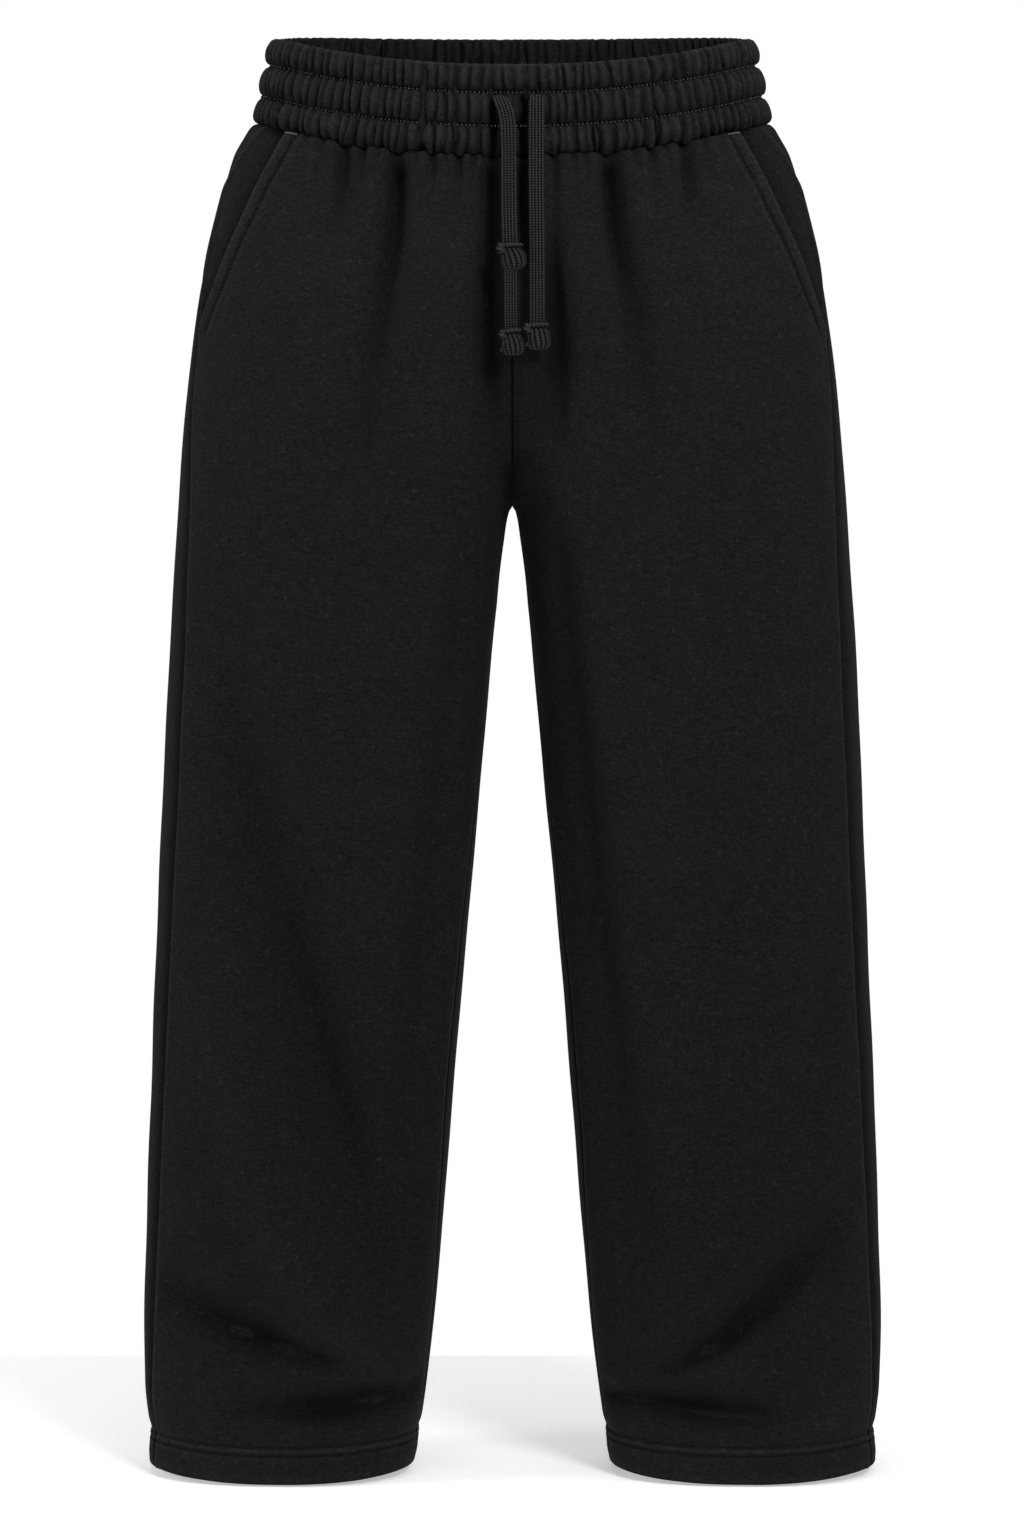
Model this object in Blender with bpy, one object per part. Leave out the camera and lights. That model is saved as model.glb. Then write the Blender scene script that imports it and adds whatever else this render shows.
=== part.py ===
"""Sweatpants with a gathered drawstring waist, worn form, hollow.

Metres, +Z up, the front faces -Y and the wearer's left is +X.
The origin is the centre of the waist opening, where the wearer's waist carries the garment.

The cloth follows one smooth surface. A point of it is given by a level, which is a height
measured at the side of the body, and by an angle round the section at that level. The angle
starts at the inside of the leg (0), passes the front (90 degrees), the side (180) and the back
(270). Above the crotch the two leg sections run into each other and are cut at the middle plane,
where the centre seams lie.
"""
import bmesh
import bpy
import numpy as np

MM = 0.001

# ---------------------------------------------------------------- driving dimensions, mm

BAND_TOP = 41.0          # level of the waistband's upper edge
BAND_SEAM = -20.0        # level of the seam between waistband and body
HEM = -997.0             # level of the leg ends
CROTCH = -297.3          # level where the four panels meet
POCKET_FOOT = -178.0     # level of the lower end of the pocket mouth
HEM_HEIGHT = 24.0        # turned-up cloth at the leg ends

CLOTH = 2.2              # heavy brushed fleece
HEM_WALL = 4.4           # two layers
SEAM_GAP = 0.4           # clearance between two pieces at a seam

WAIST_TILT = 0.2         # rise of the waist line from front to back
WAIST_BEND = 0.13        # more rise behind the sides and less in front of them
WAIST_ROUND = 12.0       # length over which it bends at the sides
FRONT_DIP = 33.3         # extra drop of the waist line at the front centre
BACK_DIP = 8.1           # and at the back centre
WAIST_DEPTH = 97.0       # half depth that the dips refer to
LEVEL_HIP = -190.0       # below this the sections are horizontal

OUTER_SQUARENESS = 2.25  # superellipse exponent of a section's outer half

# level, outer half width, depth in front, depth behind
SECTIONS = (
    (-997.0, 264.3, 60.0, 61.0),
    (-976.0, 263.8, 60.0, 61.0),
    (-937.0, 267.3, 63.0, 65.0),
    (-893.0, 268.0, 67.0, 69.0),
    (-820.0, 266.5, 73.0, 75.0),
    (-732.0, 263.7, 79.0, 82.0),
    (-557.0, 256.4, 89.0, 92.0),
    (-411.0, 249.9, 96.0, 101.0),
    (-297.0, 242.8, 101.0, 111.0),
    (-221.0, 236.8, 105.0, 119.0),
    (-148.0, 228.0, 106.0, 118.0),
    (-90.0, 215.5, 104.0, 112.0),
    (-45.0, 203.0, 100.0, 103.0),
    (-20.0, 190.0, 97.0, 98.0),
    (12.0, 181.5, 95.0, 95.0),
    (41.0, 176.5, 93.0, 93.0),
)

# level, distance of the leg's inner side from the middle plane
INNER_SIDES = (
    (-997.0, 71.3),
    (-937.0, 62.5),
    (-820.0, 50.7),
    (-645.0, 36.4),
    (-470.0, 20.4),
    (-353.0, 9.3),
    (-297.3, 0.0),
)

# level, how far the round of the crotch pushes the inner sides apart
CROTCH_ROUND = (
    (-370.0, 0.0),
    (-323.0, 1.8),
    (-309.0, 2.3),
    (-301.0, 1.8),
    (-297.3, 0.0),
)
CROTCH_ROUND_REACH = 16.0    # from the inner side, into the leg

# level, distance of the fullest point of a leg's front from the middle plane
LEG_CENTRES = (
    (-997.0, 167.8),
    (-820.0, 158.6),
    (-645.0, 148.3),
    (-470.0, 136.5),
    (-353.0, 127.9),
    (-297.3, 123.9),
    (-97.3, 0.0),
    (41.0, 0.0),
)

# how the two legs merge above the crotch:
# level, how far the inner half reaches over the middle plane as a share of the outer half
# width, superellipse exponent of the inner half (squarest at the crotch)
MERGING = (
    (-997.0, 0.0, 2.5),
    (-600.0, 0.0, 2.8),
    (-450.0, 0.0, 3.0),
    (-360.0, 0.0, 3.1),
    (-297.3, 0.0, 3.0),
    (-282.0, 0.05, 2.9),
    (-265.0, 0.2, 2.7),
    (-237.0, 0.40, 2.6),
    (-180.0, 0.77, 2.5),
    (-97.3, 1.0, 2.25),
    (41.0, 1.0, 2.25),
)

# level, how far the side seam lies in front of the outermost point, seen from the front
SIDE_SEAM = (
    (-997.0, 3.7),
    (-922.0, 6.2),
    (-790.0, 9.1),
    (-645.0, 10.9),
    (-470.0, 11.3),
    (-353.0, 10.8),
    (-265.0, 7.8),
    (-178.0, 3.5),
    (-90.0, 2.5),
    (41.0, 4.0),
)

# level, how far the inseam lies in front of the innermost point, seen from the front
INSEAM = (
    (-997.0, 1.0),
    (-878.0, 1.5),
    (-732.0, 4.3),
    (-557.0, 2.9),
    (-440.0, 0.0),
    (-297.3, 0.0),
)

# level, distance of the pocket mouth from the middle plane
POCKET_MOUTH = (
    (-178.0, 227.5),
    (-163.5, 224.7),
    (-118.0, 208.8),
    (-65.0, 185.8),
    (-20.0, 160.6),
)

# gathers of each front under the waistband:
# place along the seam from the centre, depth, length
GATHERS_RIGHT = (
    (15.0, 6.0, 130.0),
    (36.0, 3.0, 45.0),
    (58.0, 2.8, 50.0),
    (83.0, 6.5, 110.0),
    (103.0, 2.8, 40.0),
    (123.0, 4.6, 55.0),
    (143.0, 1.8, 30.0),
    (158.0, 1.4, 25.0),
)
GATHERS_LEFT = (
    (12.0, 3.6, 120.0),
    (30.0, 5.2, 110.0),
    (50.0, 3.0, 45.0),
    (73.0, 6.2, 85.0),
    (98.0, 2.8, 40.0),
    (123.0, 4.2, 45.0),
    (143.0, 1.8, 30.0),
    (158.0, 1.4, 25.0),
)
FRONT_SEAM_LENGTH = 171.0    # from the centre to the pocket mouth
BACK_GATHERS = 9             # on each back

# creases and soft troughs of a leg, seen from the front or the back:
# x and z of one end, x and z of the other end, half width, depth (a ridge is negative)
CREASES_FRONT = (
    (-89.0, -120.0, -103.0, -225.0, 14.0, 3.5),
    (77.0, -110.0, 98.0, -230.0, 15.0, 3.5),
    (-200.0, -405.0, -116.0, -790.0, 26.0, 6.0),
    (-222.0, -892.0, -140.0, -918.0, 13.0, 8.0),
    (-190.0, -951.0, -72.0, -930.0, 11.0, 8.0),
    (-175.0, -850.0, -105.0, -915.0, 18.0, -4.0),
    (90.0, -330.0, 128.0, -650.0, 26.0, -3.0),
    (200.0, -815.0, 128.0, -910.0, 16.0, 7.0),
    (80.0, -948.0, 175.0, -946.0, 11.0, 8.0),
    (150.0, -925.0, 215.0, -905.0, 14.0, -3.5),
)
CREASES_BACK = (
    (-70.0, -225.0, -175.0, -330.0, 20.0, 5.0),
    (72.0, -235.0, 180.0, -325.0, 20.0, 5.0),
    (-95.0, -420.0, -180.0, -700.0, 26.0, 5.0),
    (100.0, -400.0, 165.0, -760.0, 26.0, 5.0),
    (-110.0, -905.0, -205.0, -880.0, 14.0, 7.0),
    (-95.0, -950.0, -190.0, -940.0, 11.0, 7.0),
    (105.0, -915.0, 195.0, -890.0, 14.0, 7.0),
    (90.0, -945.0, 200.0, -950.0, 11.0, 7.0),
)

# levels of the rows of a panel below the seam
BODY_LEVELS = (
    -27.0, -37.0, -52.0, -72.0, -97.0, -128.0, -163.0, -178.0, -205.0, -228.0, -248.0, -265.0,
    -279.0, -289.5, -297.3, -305.5, -316.0, -330.0, -352.0, -390.0, -440.0, -510.0, -590.0,
    -680.0, -765.0, -830.0, -872.0, -898.0, -918.0, -936.0, -955.0, -972.5, -973.5, -997.0,
)
CROTCH_REACH = 60.0          # rows bend towards the crotch where they start within this height
FACING_COLUMNS = 5
FACING_UNDERLAP = 9.0        # facing hidden behind the pocket mouth
FACING_DROP = 1.8            # its hidden edge lies this much deeper, clear of the gathers

SEAM_TUCK = 4.0              # the cloth turns in by this much at the waist seam
TUCK_HEIGHT = 9.0            # and comes out again over this height

# level, bulge of the waistband over its base, share of the gather wave
BAND_OUTSIDE = (
    (40.5, 0.0, 0.4),
    (31.5, 3.4, 1.0),
    (22.3, -0.6, 0.6),
    (11.0, 3.4, 1.0),
    (-0.2, -1.2, 0.6),
    (-10.5, 1.9, 1.0),
    (-20.0, -4.0, 0.5),
)
# the same for the inner face, counted from the base surface
BAND_INSIDE = (
    (-19.5, -8.0, 0.3),
    (11.0, -4.0, 0.5),
    (40.0, -4.6, 0.4),
)
BAND_GATHERS = 110
BAND_WAVE = 1.6              # half height of a gather

# the drawcord: x, y, z of its centre line, from the waistband down
CORD_WIDTH = 11.2
CORD_THICKNESS = 3.4
CORD_RIGHT_UPPER = (
    (-8.8, -96.8, -17.6),
    (-8.7, -99.2, -18.0),
    (-7.8, -101.3, -20.4),
    (-6.2, -102.3, -24.6),
    (-4.4, -102.5, -31.0),
    (-3.2, -102.7, -41.0),
    (-2.6, -103.2, -56.0),
    (-2.5, -104.6, -76.0),
    (-2.4, -106.8, -97.0),
    (-2.0, -109.6, -115.0),
    (-1.6, -111.8, -126.6),
)
CORD_RIGHT_LOWER = (
    (-1.2, -113.2, -146.0),
    (-1.1, -113.3, -158.0),
    (-1.1, -113.0, -170.0),
    (-1.0, -112.7, -186.0),
)
CORD_LEFT = (
    (17.2, -95.8, -17.4),
    (17.2, -98.7, -17.9),
    (17.0, -101.1, -20.2),
    (16.9, -102.1, -24.2),
    (16.8, -102.5, -31.0),
    (16.7, -102.7, -41.0),
    (16.7, -103.2, -56.0),
    (16.7, -104.6, -76.0),
    (16.8, -106.4, -97.0),
    (17.0, -108.6, -122.0),
    (17.1, -111.0, -152.0),
    (17.2, -112.8, -182.4),
)
# name, x, y, z of the middle, width, depth, height
KNOTS = (
    ("knot_right_middle", -0.8, -113.0, -136.3, 19.6, 13.0, 18.6),
    ("knot_right_end", -0.4, -112.8, -195.6, 16.4, 12.6, 18.2),
    ("knot_left_end", 17.9, -113.2, -192.0, 18.2, 13.0, 18.6),
)


# ---------------------------------------------------------------- small helpers

def smooth_value(table, column, at):
    """Read one column of a table at any level, on a curve that never overshoots its rows."""
    place = np.array([row[0] for row in table])
    value = np.array([row[column] for row in table])
    order = np.argsort(place)
    place = place[order]
    value = value[order]
    step = np.diff(place)
    slope = np.diff(value) / step
    tangent = np.zeros(len(place))
    tangent[0] = slope[0]
    tangent[-1] = slope[-1]
    same_sign = slope[:-1] * slope[1:] > 0
    mean = 2.0 * slope[:-1] * slope[1:] / np.where(same_sign, slope[:-1] + slope[1:], 1.0)
    tangent[1:-1] = np.where(same_sign, mean, 0.0)
    at = np.clip(np.asarray(at, dtype=float), place[0], place[-1])
    index = np.clip(np.searchsorted(place, at) - 1, 0, len(step) - 1)
    width = step[index]
    t = (at - place[index]) / width
    return (
        (2 * t**3 - 3 * t**2 + 1) * value[index]
        + (t**3 - 2 * t**2 + t) * width * tangent[index]
        + (3 * t**2 - 2 * t**3) * value[index + 1]
        + (t**3 - t**2) * width * tangent[index + 1]
    )


def ease(value):
    """Smooth step from 0 to 1."""
    value = np.clip(value, 0.0, 1.0)
    return value * value * (3.0 - 2.0 * value)


def signed_power(value, power):
    return np.sign(value) * np.abs(value) ** power


# ---------------------------------------------------------------- the cloth's surface

def leg_section(level):
    """Centre, half widths of the inner and outer half, and exponent of the inner half."""
    outer = smooth_value(SECTIONS, 1, level)
    centre = smooth_value(LEG_CENTRES, 1, level)
    overlap = outer * smooth_value(MERGING, 1, level)
    inner_half = centre + overlap - smooth_value(INNER_SIDES, 1, level)
    return centre, inner_half, outer - centre, smooth_value(MERGING, 2, level)


def waist_lift(y, level):
    """How far the tilted and dipping waist line moves a point of a section up or down."""
    share = ease((np.asarray(level, dtype=float) - LEVEL_HIP) / (BAND_SEAM - LEVEL_HIP))
    bend = WAIST_BEND * (np.sqrt(y**2 + WAIST_ROUND**2) - WAIST_ROUND)
    dip = np.where(y < 0.0, FRONT_DIP, BACK_DIP) * (y / WAIST_DEPTH) ** 2
    return share * (WAIST_TILT * y + bend - dip)


def surface(angle, level):
    """Points of the left half of the cloth's surface, mm, as an array that ends in x, y, z."""
    angle, level = np.broadcast_arrays(np.asarray(angle, float), np.asarray(level, float))
    centre, inner_half, outer_half, inner_power = leg_section(level)
    cosine = np.cos(angle)
    sine = np.sin(angle)
    power = np.where(cosine > 0.0, inner_power, OUTER_SQUARENESS)
    half = np.where(cosine > 0.0, inner_half, outer_half)
    reach = (np.abs(cosine) ** power + np.abs(sine) ** power) ** (-1.0 / power)
    front = smooth_value(SECTIONS, 2, level)
    back = smooth_value(SECTIONS, 3, level)
    x = centre - half * cosine * reach
    from_inside = (half * (1.0 - cosine * reach)) / CROTCH_ROUND_REACH
    x = x + smooth_value(CROTCH_ROUND, 1, level) * np.exp(-from_inside**2) * (cosine > 0.0)
    y = -np.where(sine > 0.0, front, back) * sine * reach
    return np.stack([x, y, level + waist_lift(y, level)], axis=-1)


def surface_normal(angle, level):
    """Outward unit normals. Near the waist seam they are level, so seams stay in line."""
    turn = 0.004
    drop = 0.6
    along = surface(angle + turn, level) - surface(angle - turn, level)
    down = surface(angle, level - drop) - surface(angle, level + drop)
    normal = np.cross(down, along)
    level_share = ease((np.asarray(level, dtype=float) + 90.0) / 60.0)
    normal[..., 2] *= 1.0 - level_share
    return normal / np.linalg.norm(normal, axis=-1, keepdims=True)


def angle_at(distance, level):
    """Angle of the front point whose distance from the middle plane is given."""
    centre, inner_half, outer_half, inner_power = leg_section(level)
    half = np.where(distance < centre, inner_half, outer_half)
    share = np.clip((centre - distance) / half, -1.0, 1.0)
    power = np.where(share > 0.0, inner_power, OUTER_SQUARENESS)
    return np.arctan2((1.0 - np.abs(share) ** power) ** (1.0 / power), share)


def start_angle(level):
    """The front's inner edge: the centre seam above the crotch and the inseam below it."""
    innermost = smooth_value(INNER_SIDES, 1, level)
    centre_seam = angle_at(0.0, level)
    inseam = angle_at(innermost + smooth_value(INSEAM, 1, level), level)
    return np.where(np.asarray(level) > CROTCH, centre_seam, inseam)


def end_angle(level):
    """The back's inner edge."""
    start = start_angle(level)
    above = np.asarray(level) > CROTCH
    return np.where(above, 2.0 * np.pi - start, 2.0 * np.pi + start)


def side_angle(level):
    outer = smooth_value(SECTIONS, 1, level)
    return angle_at(outer - smooth_value(SIDE_SEAM, 1, level), level)


def mouth_angle(level):
    """The front's outer edge: the pocket mouth, and below it the side seam."""
    mouth = angle_at(smooth_value(POCKET_MOUTH, 1, level), level)
    return np.where(np.asarray(level) > POCKET_FOOT, mouth, side_angle(level))


def bent_levels(levels, inner_share):
    """Rows run level at the side and bend towards the crotch at the inner edge of a panel."""
    height = np.asarray(levels)[:, None] - CROTCH
    pulled = height * np.sqrt(np.clip(np.abs(height) / CROTCH_REACH, 0.0, 1.0))
    weight = np.clip(2.0 * inner_share - 1.0, 0.0, 1.0) ** 2
    return CROTCH + height + (pulled - height) * weight


def spread(level, first, last, shares):
    """Angles at the given shares of the way along the section, half a seam gap in at the ends."""
    dense = np.linspace(first, last, 160)
    steps = np.linalg.norm(np.diff(surface(dense, level), axis=0), axis=1)
    length = np.concatenate([[0.0], np.cumsum(steps)])
    wanted = SEAM_GAP / 2.0 + shares * (length[-1] - SEAM_GAP)
    return np.interp(wanted, length, dense)


# ---------------------------------------------------------------- folds

def crease_depth(creases, x, z):
    """Sum of the troughs: rounded across, and fading towards both ends."""
    total = np.zeros(np.shape(x))
    for x0, z0, x1, z1, half_width, depth in creases:
        run_x = x1 - x0
        run_z = z1 - z0
        length = np.hypot(run_x, run_z)
        along = ((x - x0) * run_x + (z - z0) * run_z) / length**2
        across = ((x - x0) * run_z - (z - z0) * run_x) / length
        fade = ease((along + 0.18) / 0.36) * ease((1.18 - along) / 0.36)
        total = total + depth * fade * np.exp(-((across / half_width) ** 2))
    return total


def seam_tuck(level):
    """The cloth turns in at the waist seam."""
    return SEAM_TUCK * (1.0 - ease((BAND_SEAM - np.asarray(level)) / TUCK_HEIGHT))


def gather_columns(gathers):
    """Shares of the seam for a front's columns: its troughs, and the crests between them."""
    troughs = [place / FRONT_SEAM_LENGTH for place, _, _ in gathers]
    crests = [(a + b) / 2.0 for a, b in zip(troughs[:-1], troughs[1:])]
    shares = [0.0]
    for trough, crest in zip(troughs, crests + [1.0]):
        shares += [trough, crest]
    return np.array(shares)


def gather_offsets(gathers, levels):
    """Depth of each column of a front at each level: troughs at the odd columns."""
    offsets = np.zeros((len(levels), 2 * len(gathers) + 1))
    drop = BAND_SEAM - np.asarray(levels)
    for number, (_, depth, length) in enumerate(gathers):
        offsets[:, 2 * number + 1] = depth * ease((length - drop) / length)
    return offsets


def back_gathers():
    """Gathers of a back, uneven in depth and length by a fixed rule."""
    rows = []
    for number in range(BACK_GATHERS):
        depth = 2.6 + 1.3 * np.sin(2.4 * number + 0.6)
        length = 55.0 + 28.0 * np.sin(1.7 * number + 2.0)
        place = FRONT_SEAM_LENGTH * (number + 0.5) / BACK_GATHERS
        rows.append((place, depth, length))
    return rows


# ---------------------------------------------------------------- building blocks

def cloth_material(name, colour, roughness):
    material = bpy.data.materials.new(name)
    material.use_nodes = True
    shader = material.node_tree.nodes["Principled BSDF"]
    shader.inputs["Base Color"].default_value = (*colour, 1.0)
    shader.inputs["Roughness"].default_value = roughness
    shader.inputs["Metallic"].default_value = 0.0
    return material


def add_object(name, mesh_maker, material):
    """Make a mesh with the given function, close its normals outwards and place it."""
    shape = bmesh.new()
    mesh_maker(shape)
    bmesh.ops.recalc_face_normals(shape, faces=shape.faces)
    mesh = bpy.data.meshes.new(name)
    shape.to_mesh(mesh)
    shape.free()
    mesh.materials.append(material)
    mesh.shade_smooth()
    part = bpy.data.objects.new(name, mesh)
    bpy.context.scene.collection.objects.link(part)
    part.parent = bpy.data.objects["waist_centre"]
    return part


def loft(shape, loops, ring):
    """Skin a list of loops that close on themselves; each loop is a list of points, mm."""
    rows = [[shape.verts.new(np.asarray(point) * MM) for point in loop] for loop in loops]
    following = rows[1:] + rows[:1] if ring else rows[1:]
    for row, other in zip(rows, following):
        for index in range(len(row)):
            after = (index + 1) % len(row)
            shape.faces.new((row[index], row[after], other[after], other[index]))
    return rows


def wall(shape, outer, inner):
    """A cloth wall between two grids of points (row, column, xyz)."""
    columns = outer.shape[1]
    loops = []
    for column in range(columns):
        loops.append(list(outer[:, column]) + list(inner[::-1, column]))
    rows = loft(shape, loops, ring=False)
    half = outer.shape[0]
    for row in (rows[0], rows[-1]):
        for index in range(half - 1):
            twin = len(row) - 1 - index
            shape.faces.new((row[index], row[index + 1], row[twin - 1], row[twin]))


def mirrored(points, side):
    """Keep a half's points off the middle plane and put them on the wanted side."""
    points = points.copy()
    points[..., 0] = side * np.maximum(points[..., 0], SEAM_GAP / 2.0)
    return points


def square_to_centre_seam(normals, points, levels):
    """On the centre seams the two halves' walls meet face to face."""
    on_seam = (points[..., 0] < SEAM_GAP) & (levels >= CROTCH)
    normals[..., 0] = np.where(on_seam, 0.0, normals[..., 0])
    return normals / np.linalg.norm(normals, axis=-1, keepdims=True)


def add_panel(name, side, levels, angles, inset, thickness, material):
    """A sewn panel from arrays of rows and columns: the level and angle of each point, how far
    it is set in from the surface, and the wall's thickness there."""
    base = surface(angles, levels)
    normal = square_to_centre_seam(surface_normal(angles, levels), base, levels)
    outer = mirrored(base - normal * inset[..., None], side)
    depth = (inset + thickness)[..., None]
    inner = mirrored(base - normal * depth, side)
    add_object(name, lambda shape: wall(shape, outer, inner), material)


def wall_thickness(levels):
    return np.where(levels <= HEM + HEM_HEIGHT - 0.4, HEM_WALL, CLOTH)


# ---------------------------------------------------------------- the pieces

def add_front(side, gathers, material):
    rows = [BAND_SEAM - SEAM_GAP / 2.0, *BODY_LEVELS]
    gathered = gather_columns(gathers)
    even = np.linspace(0.0, 1.0, len(gathered))
    levels = bent_levels(rows, 1.0 - even)
    angles = np.zeros(levels.shape)
    for place, level in np.ndenumerate(levels):
        mix = ease((BAND_SEAM - level - 60.0) / 160.0)
        share = gathered[place[1]] * (1.0 - mix) + even[place[1]] * mix
        angles[place] = spread(level, start_angle(level), mouth_angle(level), share)
    base = surface(angles, levels)
    inset = gather_offsets(gathers, rows)
    inset = inset + crease_depth(CREASES_FRONT, side * base[..., 0], base[..., 2])
    inset = inset + seam_tuck(levels)
    name = "front_left" if side > 0 else "front_right"
    add_panel(name, side, levels, angles, inset, wall_thickness(levels), material)


def add_back(side, material):
    rows = [BAND_SEAM - SEAM_GAP / 2.0, *BODY_LEVELS]
    gathers = back_gathers()
    shares = gather_columns(gathers)
    levels = bent_levels(rows, shares)
    angles = np.zeros(levels.shape)
    for place, level in np.ndenumerate(levels):
        angles[place] = spread(level, side_angle(level), end_angle(level), shares[place[1]])
    base = surface(angles, levels)
    inset = gather_offsets(gathers, rows)
    behind = ease((base[..., 1] + 10.0) / 30.0)
    inset = inset + behind * crease_depth(CREASES_BACK, side * base[..., 0], base[..., 2])
    inset = inset + seam_tuck(levels)
    name = "back_left" if side > 0 else "back_right"
    add_panel(name, side, levels, angles, inset, wall_thickness(levels), material)


def add_pocket_facing(side, material):
    """The hip piece behind the pocket mouth, from under the front's edge to the side seam."""
    rows = [BAND_SEAM - SEAM_GAP / 2.0]
    rows += [level for level in BODY_LEVELS if level > POCKET_FOOT + 10.0]
    under = CLOTH + SEAM_GAP
    angles = []
    inset = []
    for level in rows:
        mouth = mouth_angle(level)
        side_seam = side_angle(level)
        per_mm = 0.01 / np.linalg.norm(surface(mouth, level) - surface(mouth - 0.01, level))
        first = mouth - FACING_UNDERLAP * per_mm
        open_columns = spread(level, mouth + 0.3 * per_mm, side_seam,
                              np.linspace(0.0, 1.0, FACING_COLUMNS))
        angles.append([first, *open_columns])
        inset.append([under + FACING_DROP, *np.linspace(under + 0.2, 0.0, FACING_COLUMNS)])
    levels = np.repeat(np.array(rows)[:, None], FACING_COLUMNS + 1, axis=1)
    inset = np.array(inset) + seam_tuck(levels)
    name = "pocket_facing_left" if side > 0 else "pocket_facing_right"
    add_panel(name, side, levels, np.array(angles), inset, CLOTH, material)


def add_waistband(material):
    """A ring with three ridges between its stitch rows, gathered all round."""
    columns = 2 * BAND_GATHERS
    number = np.arange(columns)
    uneven = 0.22 * np.sin(2.1 * number) * np.sin(0.37 * number)
    shares = (number + 0.5 + uneven) / columns
    quarter = np.linspace(np.pi / 2.0, 3.0 * np.pi / 2.0, 400)
    right_half = surface(quarter[::-1], 0.0) * np.array([-1.0, 1.0, 1.0])
    ring = np.concatenate([surface(quarter, 0.0), right_half[1:-1]])
    closed = np.concatenate([ring, ring[:1]])
    length = np.concatenate([[0.0], np.cumsum(np.linalg.norm(np.diff(closed, axis=0), axis=1))])
    turn = np.concatenate([quarter, quarter[::-1][1:-1], quarter[:1]])
    half = np.concatenate([np.ones(400), -np.ones(398), [1.0]])
    wanted = shares * length[-1]
    angles = np.interp(wanted, length, turn)
    sides = half[np.searchsorted(length, wanted) - 1]
    wave = BAND_WAVE * np.where(number % 2 == 0, 1.0, -1.0) * (1.0 + 0.35 * np.sin(1.3 * number))
    loops = []
    for angle, side, height in zip(angles, sides, wave):
        loop = []
        for level, bulge, share in BAND_OUTSIDE + BAND_INSIDE:
            level = max(level, BAND_SEAM + SEAM_GAP / 2.0)
            point = surface(angle, level) + surface_normal(angle, level) * (bulge + share * height)
            loop.append(point * np.array([side, 1.0, 1.0]))
        loops.append(loop)
    add_object("waistband", lambda shape: loft(shape, loops, ring=True), material)


def smooth_route(points, count):
    """Evenly spread points on a smooth curve through the given ones."""
    points = np.array(points)
    steps = np.linalg.norm(np.diff(points, axis=0), axis=1)
    place = np.concatenate([[0.0], np.cumsum(steps)])
    wanted = np.linspace(0.0, place[-1], count)
    columns = []
    for axis in range(3):
        table = list(zip(place, points[:, axis]))
        columns.append(smooth_value(table, 1, wanted))
    return np.stack(columns, axis=-1)


def add_cord(name, route, count, material):
    """A flat cord: a rounded flat section swept down its route, its flat side to the front."""
    line = smooth_route(route, count)
    across = np.array([1.0, 0.0, 0.0])
    half_width = CORD_WIDTH / 2.0
    half_thick = CORD_THICKNESS / 2.0
    corner = np.deg2rad([0.0, 50.0, 130.0, 180.0, 230.0, 310.0])
    loops = []
    for index, centre in enumerate(line):
        before = line[max(index - 1, 0)]
        after = line[min(index + 1, count - 1)]
        run = (after - before) / np.linalg.norm(after - before)
        width_axis = across - run * np.dot(across, run)
        width_axis /= np.linalg.norm(width_axis)
        thick_axis = np.cross(run, width_axis)
        loops.append([
            centre
            + width_axis * half_width * signed_power(np.cos(turn), 0.5)
            + thick_axis * half_thick * signed_power(np.sin(turn), 0.5)
            for turn in corner
        ])

    def sweep(shape):
        rows = loft(shape, loops, ring=False)
        shape.faces.new(rows[0])
        shape.faces.new(rows[-1])

    add_object(name, sweep, material)


def add_knot(name, x, y, z, width, depth, height, material):
    """A pulled-tight overhand knot: a rounded block, fuller below its top wrap."""
    size = np.array([width, depth, height]) * MM / 2.0

    def block(shape):
        bmesh.ops.create_uvsphere(shape, u_segments=12, v_segments=8, radius=1.0)
        for vertex in shape.verts:
            round_point = np.array(vertex.co)
            swell = 1.0 - 0.10 * round_point[2]
            scale = size * np.array([swell, swell, 1.0])
            vertex.co = signed_power(round_point, 0.62) * scale + np.array([x, y, z]) * MM

    add_object(name, block, material)


def build():
    for item in list(bpy.data.objects):
        bpy.data.objects.remove(item)
    centre = bpy.data.objects.new("waist_centre", None)
    bpy.context.scene.collection.objects.link(centre)

    fleece = cloth_material("brushed fleece", (0.0108, 0.0108, 0.0113), 0.9)
    rib = cloth_material("gathered waistband fleece", (0.0115, 0.0115, 0.0121), 0.88)
    knit_cord = cloth_material("flat knit cord", (0.0185, 0.0185, 0.0194), 0.85)

    for side, gathers in ((1.0, GATHERS_LEFT), (-1.0, GATHERS_RIGHT)):
        add_front(side, gathers, fleece)
        add_back(side, fleece)
        add_pocket_facing(side, fleece)
    add_waistband(rib)

    add_cord("drawcord_right_upper", CORD_RIGHT_UPPER, 18, knit_cord)
    add_cord("drawcord_right_lower", CORD_RIGHT_LOWER, 5, knit_cord)
    add_cord("drawcord_left", CORD_LEFT, 16, knit_cord)
    for name, x, y, z, width, depth, height in KNOTS:
        add_knot(name, x, y, z, width, depth, height, knit_cord)


build()
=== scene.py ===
"""Looks of the fleece sweatpants: cloth panels, gathered waistband, sewing, drawcord, light.

The tables and the shape functions are in millimetres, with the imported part's own driving
dimensions; only finished points are turned to metres. The front faces -Y, the wearer's left
is +X, and the origin is the centre of the waist opening.

The cloth follows one smooth surface. A point of it is given by a level, which is a height
measured at the side of the body, and by an angle round the section at that level: the inside
of the leg is 0, the front 90 degrees, the side 180 and the back 270. Folds, seams and gathers
are distances by which the cloth is set in from that surface.
"""

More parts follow.
